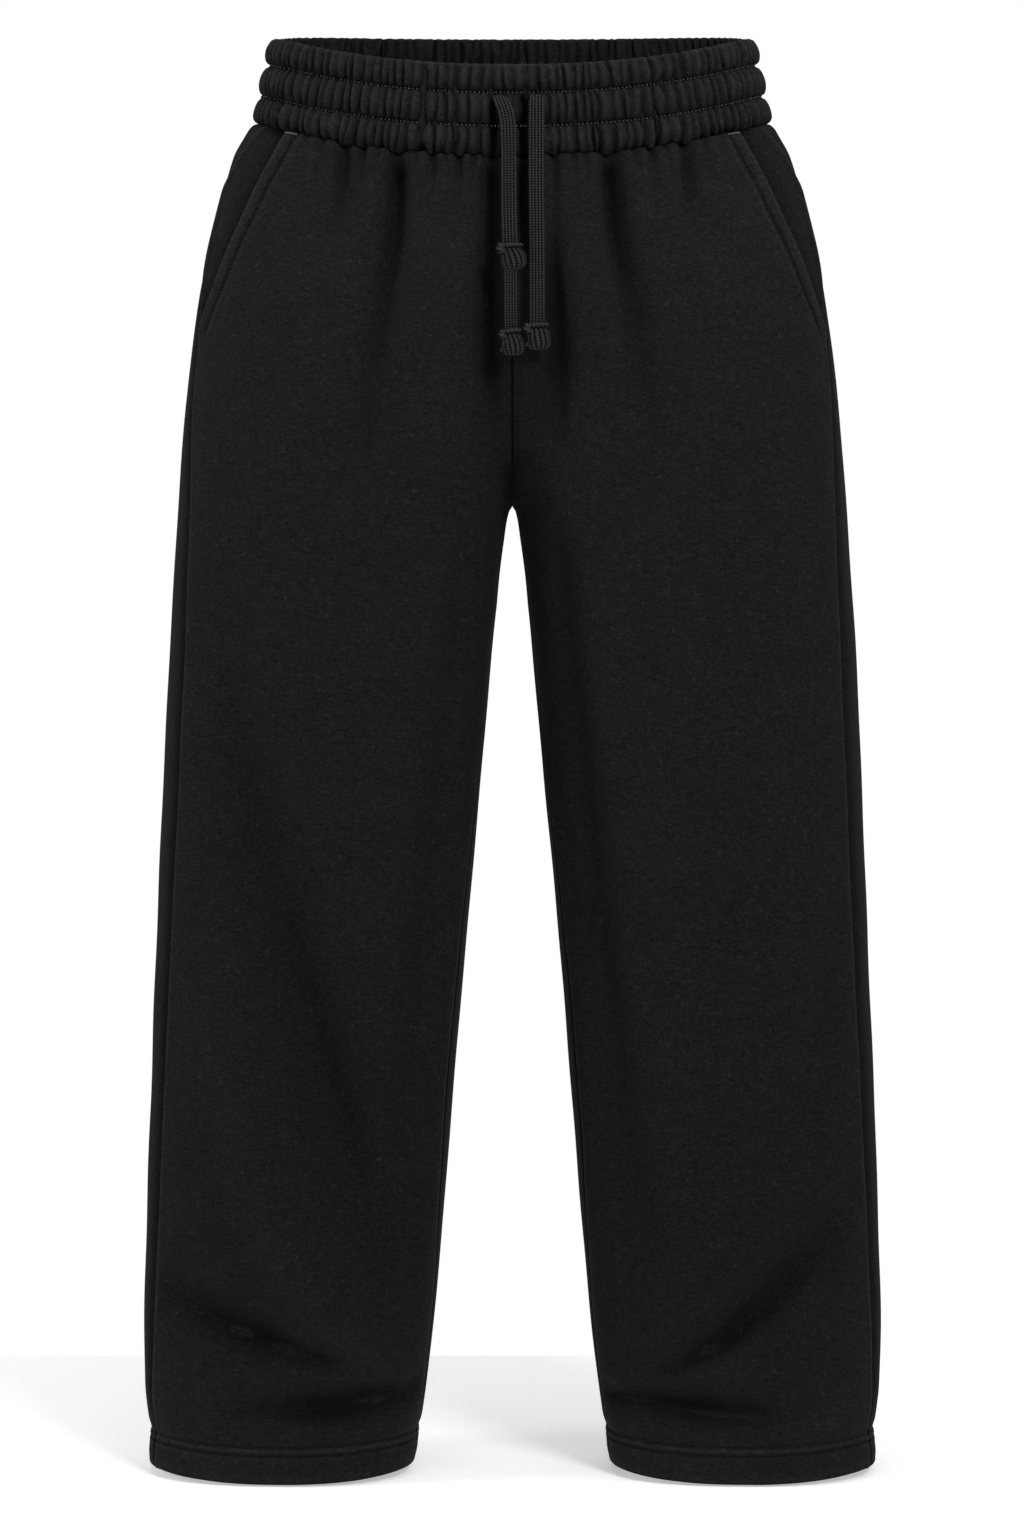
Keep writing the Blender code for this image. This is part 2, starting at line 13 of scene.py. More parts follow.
import bmesh
import bpy
import numpy as np
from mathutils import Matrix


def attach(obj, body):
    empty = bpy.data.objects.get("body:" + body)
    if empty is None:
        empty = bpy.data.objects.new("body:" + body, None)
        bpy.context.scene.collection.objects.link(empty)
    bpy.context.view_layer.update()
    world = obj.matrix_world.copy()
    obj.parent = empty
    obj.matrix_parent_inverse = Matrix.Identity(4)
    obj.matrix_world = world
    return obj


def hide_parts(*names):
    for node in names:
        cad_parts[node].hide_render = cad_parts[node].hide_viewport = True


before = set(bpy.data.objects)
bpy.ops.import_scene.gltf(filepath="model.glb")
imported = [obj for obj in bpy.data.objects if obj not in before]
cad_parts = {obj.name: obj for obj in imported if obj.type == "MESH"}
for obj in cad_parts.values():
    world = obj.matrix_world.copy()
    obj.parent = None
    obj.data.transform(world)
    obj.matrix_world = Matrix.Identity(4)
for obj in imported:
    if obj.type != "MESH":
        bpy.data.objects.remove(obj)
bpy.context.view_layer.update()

MM = 0.001
SCENE = bpy.context.scene
SIDES = {1: "left", -1: "right"}

# ================ the garment's own sizes, mm

BAND_TOP = 41
BAND_SEAM = -20
HEM = -997
CROTCH = -297.3
POCKET_FOOT = -178
CLOTH = 2.2  # thickness of the wall, and of its doubled hem
HEM_WALL = 4.4
HEM_HEIGHT = 27.5
SEAM_GAP = 0.1  # between neighbouring panels
CENTRE_OVERLAP = 0.05  # of the two halves on the middle plane
SIDE_ALLOWANCE = 4.5  # cloth turned in at the side seam, on front and facing
BACK_ALLOWANCE = 2.5  # the same on the back's own edge
WAIST_TUCK = 4.6  # depth at which a panel leaves the waist seam
POCKET_WELT = 2.2  # height of the strip along a pocket's mouth
UNDER_FRONT = 9  # width of a facing that its front hides
BEHIND_FRONT = 9.5  # depth of a facing behind its front's mouth
# the waist line: its slope from front to back, its bend, and its dips in the middle
WAIST_TILT = 0.2
WAIST_BEND = 0.13
WAIST_ROUND = 12
FRONT_DIP = 33.3
BACK_DIP = 8.1
WAIST_DEPTH = 97
LEVEL_HIP = -190  # where the tilt of the waist line begins
OUTER_SQUARENESS = 2.25  # exponent of a section's outer half
CROTCH_REACH = 60  # height over which the rows bend towards the crotch
CROTCH_ROUND_REACH = 16

# level, outer half width, depth in front, depth behind
SECTIONS = (
    (-997, 264.3, 60, 61), (-976, 263.8, 60, 61), (-937, 267.3, 63, 65), (-893, 268, 67, 69),
    (-820, 266.5, 73, 75), (-732, 263.7, 79, 82), (-557, 256.4, 89, 92), (-411, 249.9, 96, 101),
    (-297, 242.8, 101, 111), (-221, 236.8, 105, 119), (-148, 228, 106, 118),
    (-90, 215.5, 104, 112), (-45, 203, 100, 103), (-20, 190, 97, 98), (12, 181.5, 95, 95),
    (41, 176.5, 93, 93),
)

# level, distance of the leg's inner side from the middle plane
INNER_SIDES = (
    (-997, 71.3), (-937, 62.5), (-820, 50.7), (-645, 36.4), (-470, 20.4), (-353, 9.3),
    (-297.3, 0),
)

# level, how far the round of the crotch pushes the inner sides apart
CROTCH_ROUND = (
    (-370, 0), (-323, 1.8), (-309, 2.3), (-301, 1.8), (-297.3, 0),
)

# level, distance of the fullest point of a leg's front from the middle plane
LEG_CENTRES = (
    (-997, 167.8), (-820, 158.6), (-645, 148.3), (-470, 136.5), (-353, 127.9), (-297.3, 123.9),
    (-97.3, 0), (41, 0),
)

# level, overlap of the two legs above the crotch as a share of the outer half width,
# exponent of the inner half
MERGING = (
    (-997, 0, 2.5), (-600, 0, 2.8), (-450, 0, 3), (-360, 0, 3.1), (-297.3, 0, 3),
    (-282, 0.05, 2.9), (-265, 0.2, 2.7), (-237, 0.40, 2.6), (-180, 0.77, 2.5), (-97.3, 1, 2.25),
    (41, 1, 2.25),
)

# level, how far the side seam lies in front of the outermost point
SIDE_SEAM = (
    (-997, 6), (-946, 7.2), (-904, 9.2), (-862, 10.9), (-736, 13.4), (-652, 14.6), (-568, 15.3),
    (-442, 15.9), (-358, 15.2), (-316, 13.9), (-274, 11.7), (-232, 9), (-190, 7.2), (-178, 6.8),
    (-160, 5), (-125, 3), (-90, 2.5), (41, 4),
)

# level, how far the inseam lies in front of the innermost point
INSEAM = (
    (-997, 1), (-878, 1.5), (-732, 4.3), (-557, 2.9), (-440, 0), (-297.3, 0),
)

# level, distance of the pocket mouth from the middle plane
POCKET_MOUTH = (
    (-178, 225), (-163, 220.2), (-147, 214.1), (-114.5, 202.8), (-86.5, 191.6), (-59, 180.7),
    (-36, 169.3), (-20, 160.6),
)


def smooth_value(table, column, at):
    """Read one column of a table at any level, on a curve that never overshoots its rows."""
    rows = sorted((row[0], row[column]) for row in table)
    place, value = np.array(rows, dtype=float).T
    step = np.diff(place)
    slope = np.diff(value) / step
    tangent = np.zeros(len(place))
    tangent[0] = slope[0]
    tangent[-1] = slope[-1]
    same_sign = slope[:-1] * slope[1:] > 0
    mean = 2 * slope[:-1] * slope[1:] / np.where(same_sign, slope[:-1] + slope[1:], 1)
    tangent[1:-1] = np.where(same_sign, mean, 0)
    at = np.clip(np.asarray(at, dtype=float), place[0], place[-1])
    index = np.clip(np.searchsorted(place, at) - 1, 0, len(step) - 1)
    width = step[index]
    t = (at - place[index]) / width
    return (
        (2 * t**3 - 3 * t**2 + 1) * value[index]
        + (t**3 - 2 * t**2 + t) * width * tangent[index]
        + (3 * t**2 - 2 * t**3) * value[index + 1]
        + (t**3 - t**2) * width * tangent[index + 1]
    )


def unit(value):
    """A value kept between 0 and 1."""
    return np.clip(value, 0, 1)


def units(vectors):
    """Vectors of length 1."""
    return vectors / np.linalg.norm(vectors, axis=-1, keepdims=True)


def run_lengths(points):
    """Distance of every point of a line from its start."""
    steps = np.linalg.norm(np.diff(points, axis=-2), axis=-1)
    return np.concatenate([np.zeros((*steps.shape[:-1], 1)), np.cumsum(steps, axis=-1)], axis=-1)


def ease(value):
    """Smooth step from 0 to 1."""
    value = unit(value)
    return value * value * (3 - 2 * value)


def bump(distance, half_width):
    """A soft hump: 1 in the middle, gone after about two half widths."""
    return np.exp(-((distance / half_width) ** 2))


def rolled(distance, radius, depth):
    """How far an edge is turned down, within its radius, like a quarter round."""
    t = 1 - unit(distance / radius)
    return depth * (1 - np.sqrt(unit(1 - t * t)))


# ================ the cloth's smooth surface

def leg_section(level):
    """A leg's middle line, its half widths inwards and outwards, and its inner exponent."""
    outer = smooth_value(SECTIONS, 1, level)
    centre = smooth_value(LEG_CENTRES, 1, level)
    overlap = outer * smooth_value(MERGING, 1, level)
    inner_half = centre + overlap - smooth_value(INNER_SIDES, 1, level)
    return centre, inner_half, outer - centre, smooth_value(MERGING, 2, level)


def waist_lift(y, level):
    """How far the tilted and dipping waist line moves a point of a section up or down."""
    share = ease((np.asarray(level, dtype=float) - LEVEL_HIP) / (BAND_SEAM - LEVEL_HIP))
    bend = WAIST_BEND * (np.sqrt(y**2 + WAIST_ROUND**2) - WAIST_ROUND)
    dip = np.where(y < 0, FRONT_DIP, BACK_DIP) * (y / WAIST_DEPTH) ** 2
    return share * (WAIST_TILT * y + bend - dip)


def surface(angle, level):
    """Points of the left half of the cloth's surface, mm, as an array that ends in x, y, z."""
    centre, inner_half, outer_half, inner_power = leg_section(level)
    cosine = np.cos(angle)
    sine = np.sin(angle)
    power = np.where(cosine > 0, inner_power, OUTER_SQUARENESS)
    half = np.where(cosine > 0, inner_half, outer_half)
    reach = (np.abs(cosine) ** power + np.abs(sine) ** power) ** (-1 / power)
    front = smooth_value(SECTIONS, 2, level)
    back = smooth_value(SECTIONS, 3, level)
    x = centre - half * cosine * reach
    from_inside = half * (1 - cosine * reach) / CROTCH_ROUND_REACH
    x = x + smooth_value(CROTCH_ROUND, 1, level) * np.exp(-from_inside**2) * (cosine > 0)
    y = -np.where(sine > 0, front, back) * sine * reach
    z = level + waist_lift(y, level)
    return np.stack(np.broadcast_arrays(x, y, z), axis=-1)


def surface_normal(angle, level):
    """Outward unit normals. Near the waist seam they are level, so seams stay in line."""
    turn = 0.004
    drop = 0.6
    along = surface(angle + turn, level) - surface(angle - turn, level)
    down = surface(angle, level - drop) - surface(angle, level + drop)
    normal = np.cross(down, along)
    level_share = ease((np.asarray(level, dtype=float) + 90) / 60)
    normal[..., 2] *= 1 - level_share
    return units(normal)


def angle_at(distance, level):
    """Angle of the front point whose distance from the middle plane is given."""
    centre, inner_half, outer_half, inner_power = leg_section(level)
    half = np.where(distance < centre, inner_half, outer_half)
    share = np.clip((centre - distance) / half, -1, 1)
    power = np.where(share > 0, inner_power, OUTER_SQUARENESS)
    return np.arctan2((1 - np.abs(share) ** power) ** (1 / power), share)


def start_angle(level):
    """The front's inner edge: the centre seam above the crotch and the inseam below it."""
    innermost = smooth_value(INNER_SIDES, 1, level)
    centre_seam = angle_at(0, level)
    inseam = angle_at(innermost + smooth_value(INSEAM, 1, level), level)
    return np.where(np.asarray(level) > CROTCH, centre_seam, inseam)


def end_angle(level):
    """The back's inner edge."""
    start = start_angle(level)
    above = np.asarray(level) > CROTCH
    return np.where(above, 2 * np.pi - start, 2 * np.pi + start)


def side_angle(level):
    outer = smooth_value(SECTIONS, 1, level)
    return angle_at(outer - smooth_value(SIDE_SEAM, 1, level), level)


def mouth_angle(level):
    """The front's outer edge: the pocket mouth, and below it the side seam."""
    mouth = angle_at(smooth_value(POCKET_MOUTH, 1, level), level)
    return np.where(np.asarray(level) > POCKET_FOOT, mouth, side_angle(level))


# ================ a panel's net of points

# distances from a sewn edge at which a panel has its closest columns
EDGE_COLUMNS = (0, 0.3, 0.7, 1.2, 1.8, 2.6, 3.6, 5, 6.4, 7.8, 8.8, 9.6, 10.2, 10.8, 11.6,
                12.8, 14.4, 16.4)


def panel_rows():
    """Levels of a panel's rows: close at the waist seam and at the hem's sewing."""
    # drop under the waist seam from and to, step
    spans = (
        (0, 3, 0.45), (3, 14, 1.1), (14, 60, 1.9), (60, 300, 2.3), (300, 900, 3.2),
        (900, 948, 2.2), (948, 966, 0.75), (966, 972, 1.2), (972, 976.8, 0.4),
    )
    drops = [np.arange(start, stop - 0.001, step) for start, stop, step in spans]
    drops = np.concatenate([*drops, [-HEM + BAND_SEAM - SEAM_GAP / 2]])
    return BAND_SEAM - SEAM_GAP / 2 - drops


def bent_levels(levels, inner_share):
    """Rows run level at the side and bend towards the crotch at the inner edge of a panel."""
    height = np.asarray(levels)[:, None] - CROTCH
    pulled = height * np.sqrt(unit(np.abs(height) / CROTCH_REACH))
    weight = unit(2 * inner_share - 1) ** 2
    return CROTCH + height + (pulled - height) * weight


def columns_across(length, count):
    """Distances from a panel's first edge, for each row's length across."""
    edge = np.array(EDGE_COLUMNS)
    length = np.asarray(length)[..., None]
    middle = np.linspace(0, 1, count - 2 * len(edge) + 2)[1:-1]
    inside = edge[-1] + middle * (length - 2 * edge[-1])
    first = np.broadcast_to(edge, (*length.shape[:-1], len(edge)))
    last = length - edge[::-1]
    across = np.concatenate([first, inside, last], axis=-1)
    return SEAM_GAP / 2 + across * (length - SEAM_GAP) / length


def squared(normal, point, level):
    """On the centre seams the two halves meet face to face."""
    away = np.where(level >= CROTCH, ease(point[..., 0] / 4), 1)
    normal = normal.copy()
    normal[..., 0] *= away
    return units(normal)


class Net:
    """A panel's points before any fold: level, angle, distances from its two long edges."""

    def __init__(self, rows, count, first_of, last_of, inner_share):
        self.rows = np.asarray(rows)
        self.level = bent_levels(rows, inner_share)
        self.angle = np.empty(self.level.shape)
        self.from_first = np.empty(self.level.shape)
        self.from_last = np.empty(self.level.shape)
        dense = np.linspace(0, 1, 160)
        for row, levels in enumerate(self.level):
            straight = np.ptp(levels) < 0.01
            at = levels[:1] if straight else levels
            first = first_of(at)[:, None]
            turn = first + dense * (last_of(at)[:, None] - first)
            length = run_lengths(surface(turn, at[:, None]))
            across = columns_across(length[:, -1], count)
            for index in range(len(at)):
                here = slice(None) if straight else index
                wanted = across[index, here]
                self.angle[row, here] = np.interp(wanted, length[index], turn[index])
                self.from_first[row, here] = wanted
                self.from_last[row, here] = length[index, -1] - wanted
        self.point = surface(self.angle, self.level)
        self.normal = squared(surface_normal(self.angle, self.level), self.point, self.level)
        self.drop = BAND_SEAM - self.level


# ================ folds

# gathers of each front under the waistband: distance from the centre seam, depth, length,
# half width at the seam, outward drift over the length, share of the width on the inner side
GATHERS_RIGHT = (
    (14.5, 16, 300, 6.4, 5, 1.1), (27.5, 4.6, 34, 2.4, 1, 1), (37, 6.5, 80, 3.6, 3, 0.7),
    (47, 3.4, 30, 2.4, 0, 1), (57.5, 6, 70, 3.4, 2, 1.3), (68, 3.4, 34, 2.6, 2, 1),
    (83, 19, 330, 6.8, 34, 1.2), (96, 3, 32, 2.6, 0, 1), (107, 6, 90, 3.8, 6, 0.7),
    (123, 11.5, 110, 5.2, 8, 1.3), (139, 3.4, 40, 2.8, 2, 1), (153, 2.4, 26, 2.4, 0, 1),
)
GATHERS_LEFT = (
    (7.5, 12, 225, 4.4, 1, 1), (29, 5, 70, 3.2, 0, 1), (43, 3.6, 32, 2.4, 0, 1),
    (51, 3.2, 48, 2.8, 2, 1), (67.5, 18.5, 330, 7, 52, 0.8), (87, 3.4, 38, 2.6, 1, 1),
    (99, 5.6, 70, 3.4, 2, 0.8), (110, 3, 34, 2.4, 2, 1), (124, 10, 110, 4.8, 8, 0.7),
    (140, 3.4, 40, 2.8, 2, 1), (155, 2.2, 26, 2.2, 0, 1),
)
GATHERS = {1: GATHERS_LEFT, -1: GATHERS_RIGHT}

# folds of the legs, seen from the front or the back. Each is a line of x, z, half width and
# depth; a ridge has a negative depth.
FOLDS_FRONT = (
    ((-206, -365, 24, 0), (-195, -442, 24, 9), (-181, -512, 25, 16), (-156, -617, 25, 20),
     (-124, -743, 24, 18), (-100, -830, 20, 9), (-84, -880, 15, 0)),
    ((-216, -600, 22, 0), (-192, -690, 22, -6), (-180, -780, 20, -9), (-162, -835, 18, -13),
     (-137, -872, 16, -14), (-110, -899, 12, -9), (-82, -914, 10, 0)),
    ((26, -300, 12, 0), (30, -350, 13, 8), (46, -512, 15, 13), (63, -652, 16, 14),
     (80, -790, 17, 12), (100, -880, 14, 0)),
    ((-24, -300, 12, 0), (-33, -370, 13, 6), (-54, -560, 14, 9), (-74, -760, 16, 8),
     (-86, -860, 14, 0)),
    ((148, -500, 13, 0), (150, -590, 13, 4), (156, -690, 13, 0)),
    ((232, -560, 14, 0), (222, -650, 14, 5), (205, -740, 14, 0)),
)
# the deep folds that hang beside the drawcord
FOLDS_CORD = (
    ((-14, -100, 7, 0), (-14.5, -130, 8, 5), (-15, -165, 8.5, 11), (-15.5, -200, 9, 9),
     (-16, -235, 9, 4), (-17, -270, 9, 0)),
    ((27.5, -85, 7, 0), (28, -120, 8, 7), (29, -160, 9, 15), (30.5, -195, 10, 16),
     (32, -235, 10, 9), (34, -285, 10, 0)),
)
# folds where the legs' cloth breaks over the hems: soft above their line, sharp under it
FOLDS_HEM = (
    ((-262, -862, 24, 5), (-218, -882, 22, 15), (-178, -898, 17, 17), (-146, -909, 10, 11),
     (-112, -914, 6, 0)),
    ((-222, -944, 8, 0), (-175, -947, 14, 10), (-128, -948, 16, 18), (-95, -944, 15, 15),
     (-60, -936, 10, 5)),
    ((240, -800, 20, 4), (192, -862, 20, 14), (152, -899, 16, 16), (120, -916, 9, 9),
     (94, -922, 6, 0)),
    ((62, -942, 9, 5), (98, -946, 14, 15), (128, -949, 16, 18), (172, -951, 13, 11),
     (214, -951, 7, 0)),
)
FOLDS_BACK = (
    ((-70, -225, 18, 0), (-120, -275, 20, 6), (-175, -330, 20, 0)),
    ((72, -235, 18, 0), (125, -282, 20, 6), (180, -325, 20, 0)),
    ((-80, -380, 20, 0), (-120, -520, 24, 7), (-185, -720, 24, 0)),
    ((95, -400, 20, 0), (130, -580, 24, 8), (170, -780, 22, 0)),
    ((-90, -910, 8, 0), (-150, -900, 13, 8), (-215, -870, 16, 0)),
    ((-80, -945, 7, 0), (-135, -942, 9, 8), (-195, -938, 7, 0)),
    ((95, -920, 8, 0), (150, -902, 13, 8), (215, -880, 16, 0)),
    ((85, -945, 7, 0), (140, -946, 9, 8), (200, -950, 7, 0)),
)

HEM_ROWS = (HEM + 25.9, HEM + 20.4)  # levels of the hem's two stitch rows
POCKET_STITCH = 10.3  # from the mouth's edge
RISE_STITCH = ((-250, 2.9), (-185, 6.2), (-20, 6.6))  # level, from the centre seam


def fold_depth(folds, x, z, under=1):
    """Sum of the folds: each is rounded across its line, and its width and depth change
    smoothly along it. Under the line its width is multiplied by the last value."""
    total = np.zeros(np.shape(x))
    for fold in folds:
        rows = np.array(fold, dtype=float)
        steps = np.hypot(np.diff(rows[:, 0]), np.diff(rows[:, 1]))
        place = np.append(0, np.cumsum(steps))
        nearest = np.full(np.shape(x), 1.0e9)
        along = np.zeros(np.shape(x))
        line_z = np.zeros(np.shape(x))
        for start in range(len(steps)):
            run_x = rows[start + 1, 0] - rows[start, 0]
            run_z = rows[start + 1, 1] - rows[start, 1]
            share = ((x - rows[start, 0]) * run_x + (z - rows[start, 1]) * run_z)
            share = unit(share / steps[start] ** 2)
            away = np.hypot(x - rows[start, 0] - share * run_x, z - rows[start, 1] - share * run_z)
            along = np.where(away < nearest, place[start] + share * steps[start], along)
            line_z = np.where(away < nearest, rows[start, 1] + share * run_z, line_z)
            nearest = np.minimum(away, nearest)
        half_width = smooth_value(list(zip(place, rows[:, 2])), 1, along)
        half_width = half_width * (1 + (under - 1) * ease(0.5 + (line_z - z) / 8))
        depth = smooth_value(list(zip(place, rows[:, 3])), 1, along)
        total = total + depth * bump(nearest, half_width)
    return total


def gather_depth(gathers, place, drop):
    """Troughs that start sharp at the waist seam, then widen, drift outwards and die away."""
    total = np.zeros(np.shape(place))
    for start, depth, length, half_width, drift, inner_share in gathers:
        share = unit(drop / length)
        across = place - start - drift * share**1.6
        width = half_width * (1 + 1.5 * share)
        width = width * np.where(across < 0, inner_share, 2 - inner_share)
        fade = (1 - ease(share)) * (1 - 0.25 * share)
        at_seam = np.minimum(1, 7 / depth)
        fade = fade * (at_seam + (1 - at_seam) * ease(drop / 16))
        total = total + depth * fade * np.exp(-(np.abs(across / width) ** 1.9))
    return total


def back_gathers(seed):
    """Gathers of a back, uneven in place, depth and length, with a fixed seed."""
    draw = np.random.default_rng(seed)
    rows = []
    place = 6
    while place < 225:
        depth = draw.uniform(1.8, 6.5)
        length = 14 + depth * draw.uniform(9, 20)
        rows.append((place, depth, length, 1.6 + 0.7 * depth, 0.06 * place, 1))
        place += draw.uniform(9, 16)
    return rows


def waist_tuck(drop, gathered):
    """The cloth comes out of the waist seam full and round, sooner where it isn't gathered."""
    radius = 6 + 5 * unit(gathered / 6)
    t = unit(drop / radius)
    return WAIST_TUCK * (1 - np.sqrt(t * (2 - t)))


def hem_relief(level):
    """The sewn-down rows of the hem, the soft swell round them and the folded lower edge."""
    upper, lower = HEM_ROWS
    sewn = 1 * bump(level - upper, 0.9) + 1 * bump(level - lower, 0.9)
    pinch = 1.3 * bump(level - upper - 1.5, 4.5)
    swell = -0.5 * bump(level - (HEM + 9), 5)
    return sewn + pinch + swell + rolled(level - HEM, 2.4, 1.7)


def seam_wave(x, y, side):
    """The waist seam's height wavers: it rises over each puff and sinks at each gather."""
    distance = np.abs(x) * 1.015
    wide = [row for row in GATHERS[side] if row[1] >= 5]
    deep = gather_depth(wide, distance, np.zeros(np.shape(x)))
    fade = ease((172 - distance) / 20) * ease((-y - 20) / 20)
    return fade * (1 - 0.30 * np.clip(deep, 0, 7))


def sag(point, level, side):
    """Small shifts in height: of the waist seam between its gathers, and of the hem, which
    hangs lower at the front than at the sides."""
    at_seam = 1 - ease((BAND_SEAM - level) / 26)
    wave = seam_wave(point[..., 0], point[..., 1], side)
    forward = unit(-point[..., 1] / 60) ** 3
    at_hem = 1 - ease((level - HEM) / 90)
    return at_seam * wave + at_hem * (2.4 - 5 * forward)


def uneven(x, z, seed):
    """Slow swells of under half a millimetre, as on any worn cloth."""
    draw = np.random.default_rng(seed)
    total = np.zeros(np.shape(x))
    for wave in (160, 95, 60, 38):
        turn = draw.uniform(0, np.pi)
        phase = draw.uniform(0, 2 * np.pi)
        along = x * np.cos(turn) * 1.6 + z * np.sin(turn)
        total = total + np.sin(2 * np.pi * along / wave + phase) * wave / 160
    return 0.28 * total


# ================ building blocks

def mesh_object(name, points, faces, material):
    """An object at the origin from points in mm; its faces are turned outwards."""
    mesh = bpy.data.meshes.new(name)
    mesh.from_pydata((np.asarray(points, dtype=float).reshape(-1, 3) * MM).tolist(), [], faces)
    shape = bmesh.new()
    shape.from_mesh(mesh)
    bmesh.ops.recalc_face_normals(shape, faces=shape.faces)
    shape.to_mesh(mesh)
    shape.free()
    mesh.shade_smooth()
    mesh.materials.append(material)
    piece = bpy.data.objects.new(name, mesh)
    SCENE.collection.objects.link(piece)
    return piece


def set_painted_shading(piece, values):
    """Give a piece's points their painted shading: above 0 a painted highlight, pale where light
    catches an edge, a crest or the top of a ridge; under 0 painted shade, dark in a seam, at the
    bottom of a fold and in the other hollows where shade falls."""
    layer = piece.data.attributes.new("painted_shading", "FLOAT", "POINT")
    padded = np.zeros(len(piece.data.vertices), dtype=np.float32)
    padded[:np.size(values)] = np.ravel(values)
    layer.data.foreach_set("value", padded)


def net_faces(rows, columns, start=0, closed=False):
    """Four-sided faces of a net of points, also across the last column if it is closed."""
    index = start + np.arange(rows * columns).reshape(rows, columns)
    right = np.roll(index, -1, axis=1) if closed else index[:, 1:]
    left = index if closed else index[:, :-1]
    return np.stack([left[:-1], right[:-1], right[1:], left[1:]], axis=-1).reshape(-1, 4)


def tube_faces(rings, columns):
    """Faces of a tube of rings, with a cap at each end."""
    last = (rings - 1) * columns
    caps = [list(range(columns)), list(range(last, last + columns))]
    return net_faces(rings, columns, closed=True).tolist() + caps


def join(tree, *links):
    """Join nodes: source, its output, target, its input."""
    for source, made, target, taken in links:
        tree.links.new(source.outputs[made], target.inputs[taken])


def cloth_shell(name, outer, inner, painted_shading, material, stride=4):
    """A closed wall: a fine outer net, a coarser inner one, and rims that join them."""
    rows, columns = outer.shape[:2]
    row_pick = np.unique(np.append(np.arange(0, rows, stride), rows - 1))
    column_pick = np.unique(np.append(np.arange(0, columns, stride), columns - 1))
    inside = inner[np.ix_(row_pick, column_pick)]
    start = rows * columns
    wide = len(column_pick)
    faces = net_faces(rows, columns).tolist()
    faces += net_faces(len(row_pick), wide, start)[:, ::-1].tolist()
    outer_index = np.arange(start).reshape(rows, columns)
    inner_index = start + np.arange(inside.shape[0] * wide).reshape(inside.shape[0], wide)

    def rim(outer_line, inner_line, picks):
        for index in range(len(picks) - 1):
            run = outer_line[picks[index]:picks[index + 1] + 1]
            faces.append([*run.tolist(), int(inner_line[index + 1]), int(inner_line[index])])

    for end in (0, -1):
        rim(outer_index[end], inner_index[end], column_pick)
    for end in (0, -1):
        rim(outer_index[:, end], inner_index[:, end], row_pick)
    points = np.concatenate([outer.reshape(-1, 3), inside.reshape(-1, 3)])
    piece = mesh_object(name, points, faces, material)
    set_painted_shading(piece, np.clip(painted_shading, -0.92, 1))
    return piece


def put_on_side(points, side):
    """Keep a half's points off the middle plane and put them on the wanted side."""
    points = points.copy()
    on_seam = points[..., 0] < 2 * SEAM_GAP
    points[..., 0] = side * np.where(on_seam, -CENTRE_OVERLAP, points[..., 0])
    return points


def outside_points(net, inset, side):
    """A panel's points, set in from the smooth surface and put on their side."""
    point = net.point - net.normal * inset[..., None]
    point[..., 2] += sag(net.point, net.level, side)
    return put_on_side(point, side)


def wall_points(net, inset, side, allowance):
    """The inner face, which doesn't follow the rolled edges. Along a seam the cloth's turned-in
    allowance makes the wall thicker."""
    thick = np.where(net.level <= HEM + HEM_HEIGHT, HEM_WALL, CLOTH) + allowance
    return outside_points(net, inset + thick, side)


# ================ colours and materials

def linear(code):
    """A sRGB hex colour as linear red, green, blue, alpha."""
    value = np.array([int(code[place:place + 2], 16) for place in (1, 3, 5)]) / 255
    value = np.where(value <= 0.04045, value / 12.92, ((value + 0.055) / 1.055) ** 2.4)
    return (*value.tolist(), 1)


class Cloth:
    """A cloth's material, with its sheen on the shader's own sockets."""

    def __init__(self, name, roughness, sheen, sheen_roughness=0.5, specular=0.055):
        self.material = bpy.data.materials.new(name)
        self.material.use_nodes = True
        self.shader = self.material.node_tree.nodes["Principled BSDF"]
        for socket, value in (("Roughness", roughness), ("Sheen Weight", sheen),
                              ("Sheen Roughness", sheen_roughness),
                              ("Specular IOR Level", specular)):
            self.shader.inputs[socket].default_value = value
        self.place = self.add("TexCoord").outputs["Object"]

    def give(self, socket, value):
        """Set a socket, or feed it from another node's output."""
        if isinstance(value, bpy.types.NodeSocket):
            self.material.node_tree.links.new(value, socket)
        else:
            socket.default_value = value

    def add(self, kind, settings=None, **inputs):
        """Add a node: its settings by name, its inputs by socket name with _ for a space."""
        node = self.material.node_tree.nodes.new("ShaderNode" + kind)
        for name, value in (settings or {}).items():
            setattr(node, name, value)
        for name, value in inputs.items():
            self.give(node.inputs[name.replace("_", " ")], value)
        return node

    def math(self, operation, *values):
        node = self.add("Math", {"operation": operation})
        for socket, value in zip(node.inputs, values):
            self.give(socket, value)
        return node.outputs[0]

    def noise(self, scale, detail, roughness=0.5, distortion=0, place=None):
        return self.add("TexNoise", Vector=place or self.place, Scale=scale, Detail=detail,
                        Roughness=roughness, Distortion=distortion).outputs[0]

    def share(self, value, low, high):
        """How far a value has come from low to high, from 0 to 1."""
        return self.add("MapRange", Value=value, From_Min=low, From_Max=high).outputs[0]

    def mix(self, tone, dark, light, clamp=True):
        """From a dark to a light colour by tone."""
        node = self.add("Mix", {"data_type": "RGBA", "clamp_factor": clamp}, Factor=tone)
        for socket, code in ((node.inputs[6], dark), (node.inputs[7], light)):
            self.give(socket, linear(code))
        return node.outputs[2]

    def finish(self, colour, height=None, strength=0, distance=0):
        """Join the colour and the relief to the shader."""
        self.give(self.shader.inputs["Base Color"], colour)
        if height is not None:
            relief = self.add("Bump", Height=height, Strength=strength, Distance=distance)
            self.give(self.shader.inputs["Normal"], relief.outputs[0])
        return self.material


